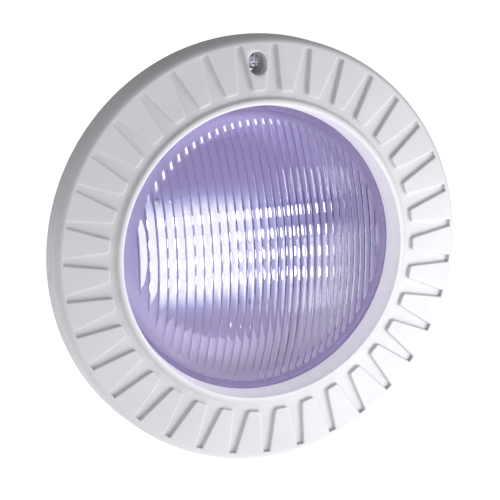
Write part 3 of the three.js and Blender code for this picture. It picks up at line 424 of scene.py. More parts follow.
def board_glow_finish(name, strength):
    """Painted light: emission white within the band of rows, easing to violet above, below and
    towards the right.
    """
    material, tree, shader, coords = new_finish(name, (0.22, 0.19, 0.30), 0.45)
    _, parts, _ = round_coords(tree, coords)
    height = calculate(tree, "ABSOLUTE", calculate(tree, "ADD", parts[2], ROW_DROP * MM))
    band = spread(tree, height, 0.021, 0.046, 1, 0)
    # Painted light: the glow fades towards the right.
    side = spread(tree, parts[0], -0.012, 0.044, 1, 0.16)
    grain = spread(tree, noise(tree, coords, 70, 3), 0.25, 0.75, 0.75, 1.1)
    painted_light_mask = calculate(tree, "MULTIPLY", calculate(tree, "MULTIPLY", band, side), grain)
    color = ramp(tree, painted_light_mask, (0.0, VIOLET), (0.3, (0.20, 0.22, 0.42)), (0.85, (0.80, 0.81, 0.88)))
    tree.links.new(color, shader.inputs["Emission Color"])
    shader.inputs["Emission Strength"].default_value = strength
    bumped(tree, shader, noise(tree, coords, 600, 2), 0.1)
    return material


BOARD_GLOW = board_glow_finish("white_board_glow", 1.0)


def led_finish():
    material, tree, shader, coords = new_finish("led_dome", (1, 0.98, 0.92), 0.15)
    hot = noise(tree, coords, 500, 2)
    tint = ramp(tree, hot, (0.3, (0.86, 0.9, 1)), (0.7, (1, 1, 1)))
    tree.links.new(tint, shader.inputs["Emission Color"])
    shader.inputs["Emission Strength"].default_value = 3.5
    return material


LED_GLOW = led_finish()


def mirror_finish():
    """Vacuum-metallised bowl: a satin mirror with a painted violet glow of emission, paler towards
    the bottom.
    """
    material, tree, shader, coords = new_finish("reflector_mirror", (0.22, 0.20, 0.31), 0.4, 0.8)
    vector, parts, _ = round_coords(tree, coords)
    # Painted light: the bowl's emission glow, paler towards the bottom.
    painted_glow_by_height = spread(tree, parts[2], -0.09, 0.09, 0.0, 1.0)
    color = ramp(tree, painted_glow_by_height, (0, (0.33, 0.29, 0.41)), (0.4, (0.17, 0.16, 0.31)),
                 (1, (0.13, 0.10, 0.25)))
    tree.links.new(color, shader.inputs["Emission Color"])
    shader.inputs["Emission Strength"].default_value = 0.75
    bumped(tree, shader, noise(tree, vector, 700, 2), 0.08)
    return material


MIRROR = mirror_finish()

# %% [markdown]
# ### Rubber, brass and the rest
# The small finishes follow one recipe: a base colour that a slow noise darkens in patches, a fast
# noise for the surface's grain, and roughness that varies a little.

# %% Plain finishes
def grained(name, color, shade, roughness, metallic, scale, strength, distance=0.0001):
    """Colour eases from `shade` to `color` over patches, with grain of 1/scale metres."""
    material, tree, shader, coords = new_finish(name, color, roughness, metallic)
    patch = noise(tree, coords, 45, 4)
    tree.links.new(ramp(tree, patch, (0.35, shade), (0.62, color)), shader.inputs["Base Color"])
    gloss = spread(tree, noise(tree, coords, 200, 2), 0.3, 0.7, roughness * 0.85, roughness * 1.2)
    tree.links.new(gloss, shader.inputs["Roughness"])
    bumped(tree, shader, noise(tree, coords, scale, 3), strength, distance)
    return material


GREY_SILICONE = grained("grey_silicone", (0.5, 0.49, 0.55), (0.44, 0.43, 0.48), 0.6, 0, 1500, 0.2)
BLACK_RUBBER = grained("black_rubber", (0.028, 0.028, 0.03), (0.045, 0.044, 0.044), 0.7, 0,
                       1800, 0.3)
BRASS = grained("brass", (0.62, 0.45, 0.18), (0.42, 0.30, 0.13), 0.32, 1, 900, 0.12)
ALUMINIUM = grained("aluminium", (0.62, 0.63, 0.65), (0.52, 0.53, 0.55), 0.42, 1, 1200, 0.3)
DARK_PLASTIC = grained("dark_plastic", (0.03, 0.031, 0.034), (0.045, 0.046, 0.05), 0.45, 0,
                       1500, 0.2)
COPPER = grained("copper", (0.55, 0.25, 0.12), (0.38, 0.16, 0.08), 0.3, 1, 1500, 0.5)
WHITE_BOARD = grained("white_board", (0.78, 0.79, 0.78), (0.7, 0.7, 0.7), 0.5, 0, 900, 0.1)
GREEN_BOARD = grained("green_board", (0.016, 0.10, 0.045), (0.03, 0.15, 0.07), 0.35, 0, 500, 0.3)

# %% [markdown]
# ## The face ring
# This is the part everyone sees: a moulded disc with a straight rim, a round shoulder and 35
# raised pads that taper towards the lens, a flat band, and a rolled lip. It could be carved with
# booleans, but filleted pads come out cleaner as one closed grid. The first parameter walks the
# section: rim, shoulder, pads, band, lip, funnel and the whole underside. The second goes round,
# with its columns bunched along the pads' flanks, which lean with the radius.

# %% Sizes of the ring
PITCH = 2 * np.pi / 35
ring_low, ring_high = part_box("face_ring")
RIM_RADIUS, GROOVE = 136.35, 0.45
PAD_OUTER, PAD_INNER, BAND_INNER, LIP_INNER, FUNNEL = 132.0, 103.0, 98.8, 93.8, 91.7
GAP_END, LENS_GAP = 131.7, -8.9
PAD_FRONT, PAD_RISE, PAD_LENGTH, PAD_HEIGHT, CORNER = 21, 4.5, 29, 2.5, 1.5
print("ring from the CAD", [round(c / MM, 1) for c in (*ring_low, *ring_high)])


def pad_surface(radius):
    """The cone on which the tops of the pads lie: 4.5 mm further forward over their 29 mm."""
    return -PAD_FRONT - (PAD_OUTER - radius) * PAD_RISE / PAD_LENGTH


def half_gap(radius):
    """Half the width of the space between two pads, from 5.1 mm inside to 2.1 mm outside."""
    return 5.382 - (radius - 100.6) / 33.2 * 3.543


# %% Rows of the ring: rim, shoulder, pads, lip, underside
FLANK = np.array([-0.7, -0.35, -0.12, 0.05, 0.22, 0.4, 0.6, 0.9, 1.3])
FLANK_RISE = np.array([0, 0.02, 0.14, 0.62, 0.87, 0.94, 0.97, 0.992, 1.0])


def ring_rows():
    """Lists (radius, low depth, high depth, kind, half width of the feature) down the section.
    kind 0 is plain, 1 rises to the pads, 2 rises to the ribs under the ring."""
    rim, low = RIM_RADIUS, RIM_RADIUS - GROOVE
    groove = [(rim - 0.3, 0), (rim, -0.35), (rim, -3.2), (low, -3.45), (low, -4.0), (rim, -4.25),
              (rim, -8.7), (low, -8.95), (low, -9.5), (rim, -9.75), (rim, -13.9),
              (rim - 0.02, -14.5)]
    shoulder = ellipse((PAD_OUTER, -14.5), (rim - PAD_OUTER, 6.5), -8, -90, 9)
    rim = np.concatenate([groove, shoulder])
    gap_rows = GAP_END + np.array([0.28, 0.15, 0.0, -0.12, -0.25, -0.5])
    pads = np.concatenate([gap_rows, [129.5, 125, 120, 115, 110, 106.5],
                           PAD_INNER + FLANK[::-1], [101.2]])
    floor = pad_surface(pads) + PAD_HEIGHT
    lip_edge = pad_surface(LIP_INNER) + 1.0
    lip = rounded([(101, pad_surface(101) + 2.5), (BAND_INNER, pad_surface(BAND_INNER) + 2.5),
                   (BAND_INNER - 1.2, lip_edge), (LIP_INNER + 0.5, lip_edge),
                   (LIP_INNER, lip_edge + 1.1), (FUNNEL, LENS_GAP), (FUNNEL + 2.9, LENS_GAP)],
                  [0, 1.2, 1.5, 1.6, 1.2, 0.8, 0.8], 4)[4:]
    under = np.array([(95.0, -11.9), (95.35, -12.6), (95.9, -16), (96.5, -20.2), (97.3, 0),
                      (100, 0), (106, 0), (112, 0), (118, 0), (124, 0), (129, 0), (131.6, 0),
                      (132.6, 1), (133, 2.2), (133, 0)])
    level = pad_surface(under[:, 0]) + 5.4
    under[4:12, 1] = level[4:12]
    under[12:14, 1] = level[12:14] + under[12:14, 1]
    under[14, 1] = -9.0
    rib = np.interp(under[:, 0], [95, 133], [-12.0, -9.2])
    back = np.array([(133.0, -6), (133.0, -0.3), (133.3, 0)])
    blocks = [
        (rim, rim[:, 1], 0, np.linspace(0.9, half_gap(GAP_END), len(rim))),
        (np.stack([pads, floor], -1), pad_surface(pads), 1, half_gap(pads)),
        (lip, lip[:, 1], 0, np.linspace(half_gap(PAD_INNER), 0.9, len(lip))),
        (under, np.maximum(rib, under[:, 1]), 2, np.full(len(under), 0.9)),
        (back, back[:, 1], 0, np.full(len(back), 0.9)),
    ]
    return [np.concatenate(column) for column in zip(*[
        (b[0][:, 0], b[0][:, 1], b[1], np.full(len(b[0]), b[2]), b[3]) for b in blocks])]


# %% The ring's grid
def ring_grid():
    """Columns sit at offsets from each gap's middle, x = half width + flank offset, and angle =
    x / radius. The height eases from floor to pad by the distance inside the pad's rounded
    outline: c - hypot(c - distance from flank, c - distance from the inner end), c = 1.5."""
    radius, low, high, kind, half = [a[:, None] for a in ring_rows()]
    across = (half - 0.7) * np.array([[0, 0.5]])
    flank = half + FLANK[None]
    edge = flank[:, -1:] / radius
    beyond = edge + (PITCH / 2 - edge) * np.array([[0.3, 0.65, 1.0]])
    angle = np.concatenate([across / radius, flank / radius, beyond], 1)
    offset = angle * radius
    from_flank = offset - half
    from_inner = radius - PAD_INNER
    inside = CORNER - np.hypot(np.maximum(CORNER - from_flank, 0),
                               np.maximum(CORNER - from_inner, 0))
    pad = np.interp(inside, FLANK, FLANK_RISE)
    closing = np.interp(radius - GAP_END, [-0.5, -0.25, -0.12, 0.0, 0.15, 0.28],
                        [0, 0.05, 0.3, 0.7, 0.93, 1])
    pad = np.maximum(pad, closing)
    rib = np.interp(0.9 - offset, [-0.35, -0.05, 0.12, 0.35], [0, 0.1, 0.93, 1])
    rise = np.where(kind == 1, pad, np.where(kind == 2, rib, 0))
    depth = low + (high - low) * rise
    angle = np.concatenate([-angle[:, :0:-1], angle[:, :-1]], 1)
    depth = np.concatenate([depth[:, :0:-1], depth[:, :-1]], 1)
    turns = (np.arange(35) + 0.5) * PITCH
    angle = (angle[:, None, :] + turns[None, :, None]).reshape(len(radius), -1)
    depth = np.tile(depth, (1, 35))
    return np.stack([radius * np.sin(angle), depth, radius * np.cos(angle)], -1), True, True


ring = mesh_object("ring_face", [ring_grid()], 50)
print("ring grid", len(ring.data.polygons), "faces")

# %% [markdown]
# ### Bosses, bores and the pilot screw's pocket
# The ring is moulded with bosses behind it, and the pilot screw sits in a long pocket whose lip
# is rounded. These few cuts cross the grid's lines, so here booleans are the right tool. Each
# cutter is again a small grid.

# %% Cut the ring
def obround_cutter(width, length, centre, rows):
    """A round-ended prism: x = w sin a, z = centre + reach sign(cos a) + w cos a, where each row
    gives its growth and its depth, or its depth behind the sloping pad."""
    angle = np.linspace(0, 2 * np.pi, 48, endpoint=False) + np.pi / 48
    reach = (length - width) / 2
    layers = []
    for grow, depth, follows in rows:
        size = 0.0 if grow is None else width / 2 + grow
        x = size * np.sin(angle)
        z = centre + (0 if grow is None else reach) * np.sign(np.cos(angle)) + size * np.cos(angle)
        y = depth + (pad_surface(z) if follows else 0)
        layers.append(np.stack([x, y + 0 * x, z], -1))
    return np.stack(layers), False, True


def column_cutter(circle, clock, radius, front, back):
    """A round bar along Y at a radius and clock angle of the ring."""
    x, z = circle * math.sin(math.radians(clock)), circle * math.cos(math.radians(clock))
    section = [(0, front), (radius, front), (radius, back), (0, back)]
    return placed(turned(section, 40, closed=False), (x, 0, z))


def obround_bar(width, length, front, back):
    """A plain round-ended bar along Y, where the pilot screw is."""
    rows = [(None, front, False), (0, front, False), (0, back, False), (None, back, False)]
    return obround_cutter(width, length, PILOT_Z, rows)


PILOT_Z, CLIP_CIRCLE, HOOK_CIRCLE = 120, 117.5, 122.8
clip_clocks, hook_clocks = (45, 135, 225, 315), (164, 196)
bosses = [column_cutter(CLIP_CIRCLE, c, 5, -18.6, 9.3) for c in clip_clocks]
bosses += [column_cutter(HOOK_CIRCLE, c, 5, -17.8, 0) for c in hook_clocks]
bosses.append(obround_bar(16.9, 19.5, -18.9, -10))
bores = [column_cutter(CLIP_CIRCLE, c, 2.3, -4.7, 10.3) for c in clip_clocks]
bores += [column_cutter(HOOK_CIRCLE, c, 2.3, -14, 1) for c in hook_clocks]
pocket = obround_cutter(11.7, 14.3, PILOT_Z, [
    (None, -14, False), (0, -14, False), (0, 0.9, True), (0.1, 0.45, True), (0.35, 0.12, True),
    (0.8, -0.2, True), (0.8, -6, True), (None, -29, False)])
slot = obround_bar(6.95, 10.95, -15, -9)
for operation, grids in (("UNION", bosses), ("DIFFERENCE", bores),
                         ("DIFFERENCE", [pocket]), ("DIFFERENCE", [slot])):
    tool = mesh_object("tool", grids)
    change = ring.modifiers.new("change", "BOOLEAN")
    change.operation, change.solver, change.object = operation, "MANIFOLD", tool
    cut = bpy.data.meshes.new_from_object(ring.evaluated_get(bpy.context.evaluated_depsgraph_get()))
    ring.modifiers.clear()
    ring.data = cut
    bpy.data.objects.remove(tool)
    print(operation, len(cut.polygons), "faces")
smooth(ring.data, 50)
settle(ring, "face_ring", "light", RING_PLASTIC)

# %% [markdown]
# ## The lens
# A pressed glass dome, 5 mm thick. Its front carries upright flutes 5.2 mm apart that stop on a
# circle near its edge, so each ends in a small facet; the upper ones carry painted glints. A polar
# grid would blur them, so the fluted area is drawn in upright columns: the first parameter is x and
# the second runs from the bottom of the circle to its top. The smooth edge, the flat flange and the
# inside are turned.

# %% Lens surfaces
def dome(radius, sphere=140.0):
    """Depth of the dome at a radius: 97.3 - sqrt(sphere^2 - radius^2)."""
    return 97.3 - np.sqrt(sphere**2 - radius**2)


def flute_angles():
    """Angles whose x = R sin a falls at set places beside each valley, denser near the valley, and
    even steps near the two sides, where upright columns shrink to nothing."""
    valleys = np.arange(-15, 15) + 0.5
    beside = np.array([-0.5, -0.4, -0.3, -0.2, -0.125, -0.075, -0.033, 0, 0.033, 0.075, 0.125,
                       0.2, 0.3, 0.4])
    x = FLUTE_PITCH * np.append((valleys[:, None] + beside).ravel(), valleys[-1] + 0.5)
    middle = np.arcsin(x / FLUTE_CIRCLE)
    sides = np.linspace(middle[-1], np.pi / 2, 34)[1:]
    return np.concatenate([-sides[::-1], middle, sides])


FLUTE_ANGLES = flute_angles()
ROUND_ANGLES = np.concatenate([FLUTE_ANGLES, (np.pi - FLUTE_ANGLES[1:-1])[::-1]])


def fluted_front():
    """x = R sin a, z = v R cos a. The glass is pressed back by depth * (1 - |cos(pi x / pitch)|),
    which makes round ribs with sharp valleys, deepened there by a narrow V, and both fade out over
    the last 2.5 mm."""
    angle = FLUTE_ANGLES[None]
    share = np.sin(np.linspace(-np.pi / 2, np.pi / 2, 57))[:, None]
    x = FLUTE_CIRCLE * np.sin(angle) + 0 * share
    z = FLUTE_CIRCLE * np.cos(angle) * share
    radius = np.minimum(np.hypot(x, z), FLUTE_CIRCLE)
    fade = np.clip((FLUTE_CIRCLE - radius) / 2.5, 0, 1)
    fade = fade * fade * (3 - 2 * fade)
    valley = np.abs(np.mod(x / FLUTE_PITCH, 1) - 0.5) * FLUTE_PITCH
    press = FLUTE_DEPTH * (1 - np.abs(np.cos(np.pi * x / FLUTE_PITCH)))
    press = (press + 0.3 * np.clip(1 - valley / 0.5, 0, 1)) * fade
    return np.stack([x, dome(radius) + press, z], -1), False, False


def lens_rest():
    """Smooth band, flange, back and inside of the dome as one turned section from the flutes'
    circle round to the axis at the back."""
    band = np.linspace(FLUTE_CIRCLE, 96, 6)
    inside = np.linspace(88.5, 0, 16)
    edge = rounded([(96, -4.6), (106.4, -4.6), (106.4, 2.4), (89.4, 2.4),
                    (88.5, dome(88.5, 135.0))],
                   [0, 0.8, 0.8, 0.6, 0], 3, closed=False)
    section = np.concatenate([np.stack([band, dome(band)], -1), edge,
                              np.stack([inside, dome(inside, 135.0)], -1)])
    return turned(section, closed=False, angles=ROUND_ANGLES)


lens = mesh_object("lens_dome", [fluted_front(), lens_rest()], 60)
settle(lens, "lens", "light", LENS_GLASS)
lens.data.materials.append(FLUTED_GLASS)
lens.data.materials.append(GROUND_GLASS)
centres = np.empty(len(lens.data.polygons) * 3)
lens.data.polygons.foreach_get("center", centres)
centres = centres.reshape(-1, 3) / MM
from_centre = np.linalg.norm(centres - [0, 97.3, 0], axis=1)
from_axis = np.hypot(centres[:, 0], centres[:, 2])
front = (from_centre > 137.6) & (from_axis < FLUTE_CIRCLE)
flange = (from_axis > 88.6) & (centres[:, 1] > -4.7)
lens.data.polygons.foreach_set("material_index", (front + 2 * flange).astype(np.int32))
print("fluted faces", int(front.sum()), "ground faces", int(flange.sum()))

# %% [markdown]
# ## Gasket and clamp band
# A U-shaped silicone gasket wraps the lens edge and the housing flange. The V-band round it is
# rolled steel strip, split at the bottom, with two drilled ears that a screw pulls together.

# %% Gasket
gasket_section = rounded([(99.7, -7.5), (109.3, -7.5), (109.3, 5.3), (99.7, 5.3), (99.7, 2.7),
                          (106.7, 2.7), (106.7, -4.9), (99.7, -4.9)], 0.7, 3)
gasket = mesh_object("gasket", [turned(gasket_section, 160)])
settle(gasket, "lens_gasket", "light", GREY_SILICONE)

# %% Clamp band
EAR_Z = -118.5


def band_grids():
    """The channel is two parallel lines of points carried round from ear to ear, and each end is
    closed by the strip between the two lines."""
    outer = rounded([(103, -9.2), (111, -9.2), (111, 9.3), (103, 9.3)], 1.4, 5, closed=False)
    inner = rounded([(103, -7.8), (109.6, -7.8), (109.6, 7.9), (103, 7.9)], 0.6, 5, closed=False)
    start = math.asin(7.0 / 109) + np.pi
    angle = np.linspace(start, start + 2 * (np.pi - math.asin(7.0 / 109)), 181)
    section = np.concatenate([outer, inner[::-1]])
    radius, depth = section[:, :1], section[:, 1:]
    body = np.stack([radius * np.sin(angle), depth + 0 * angle, radius * np.cos(angle)], -1)
    lines = np.stack([outer, inner])
    ends = [np.stack([lines[..., 0] * np.sin(a), lines[..., 1], lines[..., 0] * np.cos(a)], -1)
            for a in angle[[0, -1]]]
    return [(body, True, False)] + [(end, False, False) for end in ends]


def ear_grid(side):
    """A plate round its screw hole: |y / 5.5|^5 + |z / h|^5 = 1, with a rounded edge."""
    angle = np.linspace(0, 2 * np.pi, 64, endpoint=False)
    high = np.where(np.sin(angle) > 0, 8.4, 7.5)
    outline = (np.abs(np.cos(angle) / 5.5) ** 5 + np.abs(np.sin(angle) / high) ** 5) ** -0.2
    rows = [(3.3, 7.0), (outline - 0.35, 7.0), (outline, 7.3), (outline, 8.7),
            (outline - 0.35, 9.0), (3.3, 9.0)]
    layers = [np.stack([side * x + 0 * angle, r * np.cos(angle), EAR_Z + r * np.sin(angle)], -1)
              for r, x in rows]
    return np.stack(layers), True, True


band = mesh_object("clamp_band_rolled", band_grids() + [ear_grid(1), ear_grid(-1)], 40)
settle(band, "clamp_band", "light", DRAWN_STEEL)

# %% [markdown]
# ## Screws
# One function makes every screw: a domed head with a cross or a slot pressed into it, then a
# shank with a real helical thread. The thread is a height too: a triangle wave of depth / pitch
# minus the turn, which is exactly what a helix is.

# %% A screw as one surface
def screw_grid(radius, length, head_radius, head_height, blades, pitch, columns=48):
    """Rows run from the head's middle to the tip. The recess sinks where |x| is under the blade's
    half width; the shank's radius is radius - 0.54 pitch * |2 frac(y / pitch - a / 2 pi) - 1|."""
    angle = np.arange(columns) * 2 * np.pi / columns
    share = np.linspace(0, 1, 22)
    edge = head_height * 0.35
    top_r = head_radius * np.sin(share * np.pi / 2)
    top_y = -edge - (head_height - edge) * np.cos(share * np.pi / 2)
    r = np.repeat(top_r[:, None], columns, 1)
    y = np.repeat(top_y[:, None], columns, 1)
    x, z = r * np.sin(angle), r * np.cos(angle)
    width, reach, deep = head_radius * 0.15, head_radius * 0.62, head_height * 0.55

    def blade(a, b):
        wide = np.clip((width - np.abs(a)) / (0.3 * width) + 0.5, 0, 1)
        long = np.clip((reach - np.abs(b)) / (0.5 * width) + 0.5, 0, 1)
        return wide * long * (1 - 0.35 * np.abs(b) / reach)

    if blades:
        sunk = blade(x, z) if blades == 1 else np.maximum(blade(x, z), blade(z, x))
        y = y + deep * sunk
    side = rounded([(head_radius, -edge), (head_radius, 0), (radius, 0), (radius, 1.2)],
                   [0, 0.15, 0.1, 0], 3, closed=False)
    shank = np.arange(1.3, length - radius * 0.7, pitch / 6)
    wave = np.abs(2 * np.mod(shank[:, None] / pitch - angle / (2 * np.pi), 1) - 1)
    fade = np.clip((shank[:, None] - 1.3) / pitch, 0, 1)
    thread_r = radius - 0.54 * pitch * wave * fade
    tip = np.array([(radius * 0.8, length - radius * 0.5), (radius * 0.35, length), (0, length)])
    r = np.concatenate([r, np.repeat(side[:, :1], columns, 1), thread_r,
                        np.repeat(tip[:, :1], columns, 1)])
    y = np.concatenate([y, np.repeat(side[:, 1:], columns, 1),
                        np.repeat(shank[:, None], columns, 1), np.repeat(tip[:, 1:], columns, 1)])
    return np.stack([r * np.sin(angle), y, r * np.cos(angle)], -1), False, True


# %% Pilot, clamp and fixing screws
pilot = mesh_object("pilot_screw_threaded",
                    [placed(screw_grid(3.175, 46, 4.3, 3.3, 2, 1.27, 96), (0, -14.3, PILOT_Z))], 40)
settle(pilot, "pilot_screw", "pilot_screw", SCREW_STEEL)
clamp_screw = mesh_object("clamp_screw_threaded",
                          [placed(screw_grid(3, 33, 5, 5, 1, 1.0), (10.8, 0, EAR_Z), SIDEWAYS)], 40)
settle(clamp_screw, "clamp_screw", "clamp_screw", SCREW_STEEL)
places = [(f"clip_screw_{i + 1}", CLIP_CIRCLE, c, 11.7) for i, c in enumerate(clip_clocks)]
places += [("hook_screw_right", HOOK_CIRCLE, 164, 2.6), ("hook_screw_left", HOOK_CIRCLE, 196, 2.6)]
for name, circle, clock, seat in places:
    where = (circle * math.sin(math.radians(clock)), seat, circle * math.cos(math.radians(clock)))
    fixing = mesh_object(name + "_threaded",
                         [placed(screw_grid(2, 14, 3.8, 2.6, 1, 0.9, 32), where, BACKWARD)], 40)
    settle(fixing, name, "light", SCREW_STEEL)

# %% [markdown]
# ## Washers, nuts and the retainer
# All of these are turned sections with small rounded edges. The square nut is the same idea as a
# hexagon with four sides: a square whose corners are trimmed by a radius.

# %% Washer, square nut, retainer
washer_section = rounded([(3.3, -1.2), (5.6, -1.2), (5.6, 0), (3.3, 0)], 0.2, 3)
clamp_washer = mesh_object("clamp_washer_pressed",
                           [placed(turned(washer_section, 48), (9.3, 0, EAR_Z), SIDEWAYS)])
settle(clamp_washer, "clamp_washer", "clamp_washer", PRESSED_STEEL)
retainer_section = rounded([(3.475, 3.0), (8, 3.0), (8, 5.0), (3.475, 5.0)], 0.5, 4)
retainer = mesh_object("pilot_retainer_moulded",
                       [placed(turned(retainer_section, 64), (0, 0, PILOT_Z))])
settle(retainer, "pilot_screw_retainer", "pilot_retainer", BLACK_RUBBER)


def square_nut():
    """Each row is a square of half side 5 whose corners are trimmed by the row's own radius."""
    angle = np.arange(64) * 2 * np.pi / 64
    flat = np.mod(angle + np.pi / 4, np.pi / 2) - np.pi / 4
    rows = [(3.3, 9.3), (5.6, 9.3), (7.0, 9.9), (7.0, 14.2), (5.6, 14.8), (3.3, 14.8)]
    layers = []
    for limit, across in rows:
        r = np.minimum(5 / np.cos(flat), limit)
        layers.append(np.stack([-across + 0 * r, r * np.sin(angle), EAR_Z + r * np.cos(angle)], -1))
    return np.stack(layers), True, True


clamp_nut = mesh_object("clamp_nut_square", [square_nut()], 30)
settle(clamp_nut, "clamp_nut", "light", PRESSED_STEEL)

# %% [markdown]
# ## The housing
# A deep-drawn stainless can. Its rolled flange sits in the gasket, its wall tapers to a soft
# shoulder, and a stamped bead stiffens the back round the cord gland. One closed section, inside
# and outside, gives the sheet its true thickness.

# %% Housing shell
def housing_section():
    """Outside from flange to gland hole, then the inside back again, 2 mm within."""
    def bead(inset):
        flat, low = 95 - inset, 93.4 - inset
        return rounded([(52, flat), (44, flat), (42.4, low), (37.6, low), (36, flat), (24, flat)],
                       1.6, 4, closed=False)

    throat = rounded([(109.3, 5.6), (109.3, 7.6), (100.5, 7.6), (98.0, 18.0)], [0, 0.8, 2.2, 0],
                     4, closed=False)
    outside = np.concatenate([throat, ellipse((58, 58), (30, 37), 0, 90, 20), bead(0),
                              [(12.3, 95)]])
    mouth = rounded([(96.0, 18.0), (98.5, 5.6), (104, 5.6)], [0, 2.0, 0], 4, closed=False)[::-1]
    inside = np.concatenate([mouth, ellipse((58, 58), (28, 35), 0, 90, 20), bead(2), [(12.3, 93)]])
    return np.concatenate([outside, inside[::-1]])


housing = mesh_object("housing_drawn", [turned(housing_section(), 160)], 40)
settle(housing, "housing_shell", "light", DRAWN_STEEL)

# %% [markdown]
# ## Reflector and LED rows
# The reflector is a metallised bowl. Each LED row is a narrow carrier with six clear domes. The
# carriers are rounded bars and the domes are turned caps, kept light because there are many.

# %% Reflector
bowl_in = ellipse((70.3, 9), (26.1, 16.3), 0, 90, 18)
bowl_out = ellipse((70.3, 9), (27.2, 17.4), 0, 90, 18)
reflector_section = np.concatenate([bowl_in, [(66.3, 25.4), (66.3, 26.4)], bowl_out[::-1]])
reflector = mesh_object("reflector_bowl", [turned(reflector_section, 160)], 50)
settle(reflector, "reflector", "light", MIRROR)

# %% LED rows
def bar_grid(centre, half, edge):
    """A rounded bar: |x / a|^8 + |z / b|^8 = 1 for the outline, smaller at front and back."""
    angle = np.linspace(0, 2 * np.pi, 48, endpoint=False)
    cosine, sine = np.cos(angle), np.sin(angle)
    rows = [(0, -half[1]), (1 - edge / half[2], -half[1]), (1, -half[1] + edge),
            (1, half[1] - edge), (1 - edge / half[2], half[1]), (0, half[1])]
    norm = (np.abs(cosine) ** 8 + np.abs(sine) ** 8) ** -0.125
    layers = [np.stack([s * half[0] * norm * cosine, y + 0 * angle, s * half[2] * norm * sine], -1)
              for s, y in rows]
    return np.stack(layers) + np.asarray(centre, float), False, True


led_cap = np.concatenate([ellipse((0, 0), (3.4, 3.5), -90, 0, 6),
                          [(3.4, 0), (4, 0.15), (4, 0.8), (0, 0.8)]])
for row in range(4):
    low, high = (np.array(corner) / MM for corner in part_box(f"led_row_{row + 1}"))
    front, z = high[1] - 1.5, (low[2] + high[2]) / 2
    carrier = bar_grid((0, front + 0.75, z), (high[0], 0.75, 4.5), 0.3)
    step = (high[0] - 6) / 2.5
    domes = [placed(turned(led_cap, 20, closed=False), (step * (i - 2.5), front, z))
             for i in range(6)]
    leds = mesh_object(f"led_row_{row + 1}_domed", [carrier] + domes, 50)
    settle(leds, f"led_row_{row + 1}", "light", LED_GLOW)
    # The carriers wear the board's painted light.
    leds.data.materials.append(BOARD_GLOW)
    heights = np.empty(len(leds.data.polygons) * 3)
    leds.data.polygons.foreach_get("center", heights)
    on_dome = heights.reshape(-1, 3)[:, 1] < (front - 0.02) * MM
    leds.data.polygons.foreach_set("material_index", np.where(on_dome, 0, 1).astype(np.int32))

# %% [markdown]
# ## The cord gland
# The brass body passes through the back wall. A rubber O-ring seals it, a hexagon lock nut holds
# it from inside, and a hexagon gland nut squeezes a grommet that would grip the cord. No cord is
# fitted to this lamp. Nuts get chamfers by limiting the hexagon's radius near both ends.

# %% Gland parts
def gland_piece(name, node, section, body, finish, radius=0.25, columns=96, apothem=None):
    built = mesh_object(name, [turned(rounded(section, radius, 3), columns, apothem)], 35)
    return settle(built, node, body, finish)


def plain_ring(inner, outer, front, back):
    """The section of a flat ring."""
    return [(inner, front), (outer, front), (outer, back), (inner, back)]


def threaded(start, stop, radius, pitch):
    """Rows for an outside thread on the gland's neck: the radius dips once in each pitch."""
    y = np.arange(start, stop, pitch / 6)
    return np.stack([radius - 0.45 * pitch * np.abs(2 * np.mod(y / pitch, 1) - 1), y], -1)


body_section = np.concatenate([
    [(6.2, 86), (11.6, 86)], threaded(86.5, 94.6, 12, 1.5),
    rounded([(11.3, 95.2), (11.3, 97.2), (18.0, 97.2), (18.0, 102.2), (11.4, 102.2), (11.4, 103)],
            [0, 0.3, 0.6, 0.6, 0.6, 0], 3, closed=False),
    threaded(103.4, 115.6, 12, 1.5), [(11.5, 116.2), (9.5, 116.2), (9.5, 106.2), (6.2, 106.2)]])
gland_body = mesh_object("gland_body_turned", [turned(body_section, 96)], 30)
settle(gland_body, "gland_body", "light", BRASS)
gland_piece("gland_o_ring_moulded", "gland_o_ring", plain_ring(12.3, 15.8, 95.3, 96.9), "light",
            BLACK_RUBBER, 0.75)
gland_piece("gland_lock_nut_hex", "gland_lock_nut",
            [(12.3, 88.7), (15.2, 88.7), (16.5, 89.5), (16.5, 91.9), (15.2, 92.7), (12.3, 92.7)],
            "light", BRASS, 0.15, 96, 14.3)
gland_piece("cord_grommet_moulded", "cord_grommet", plain_ring(6.2, 9.2, 106.5, 114.6), "light",
            BLACK_RUBBER, 0.6)
gland_piece("slip_washer_pressed", "slip_washer", plain_ring(6.2, 9.2, 114.9, 115.9), "slip_washer",
             PRESSED_STEEL, 0.2)
gland_piece("gland_nut_hex", "gland_nut",
            [(12.3, 105.2), (14.4, 105.2), (15.7, 106.0), (15.7, 118.5), (13.7, 120.5),
             (6.5, 120.5), (6.5, 116.5), (12.3, 116.5)], "gland_nut", BRASS, 0.2, 96, 13.6)

# %% [markdown]
# ## Pieces kept from the CAD
# The clips, the hook and everything inside the housing already have the right shape. They keep
# their CAD mesh. A weld joins its loose triangles and a small bevel softens its edges, and each
# gets the finish its real counterpart has, except the LED board, which wears the painted light of
# the rows.

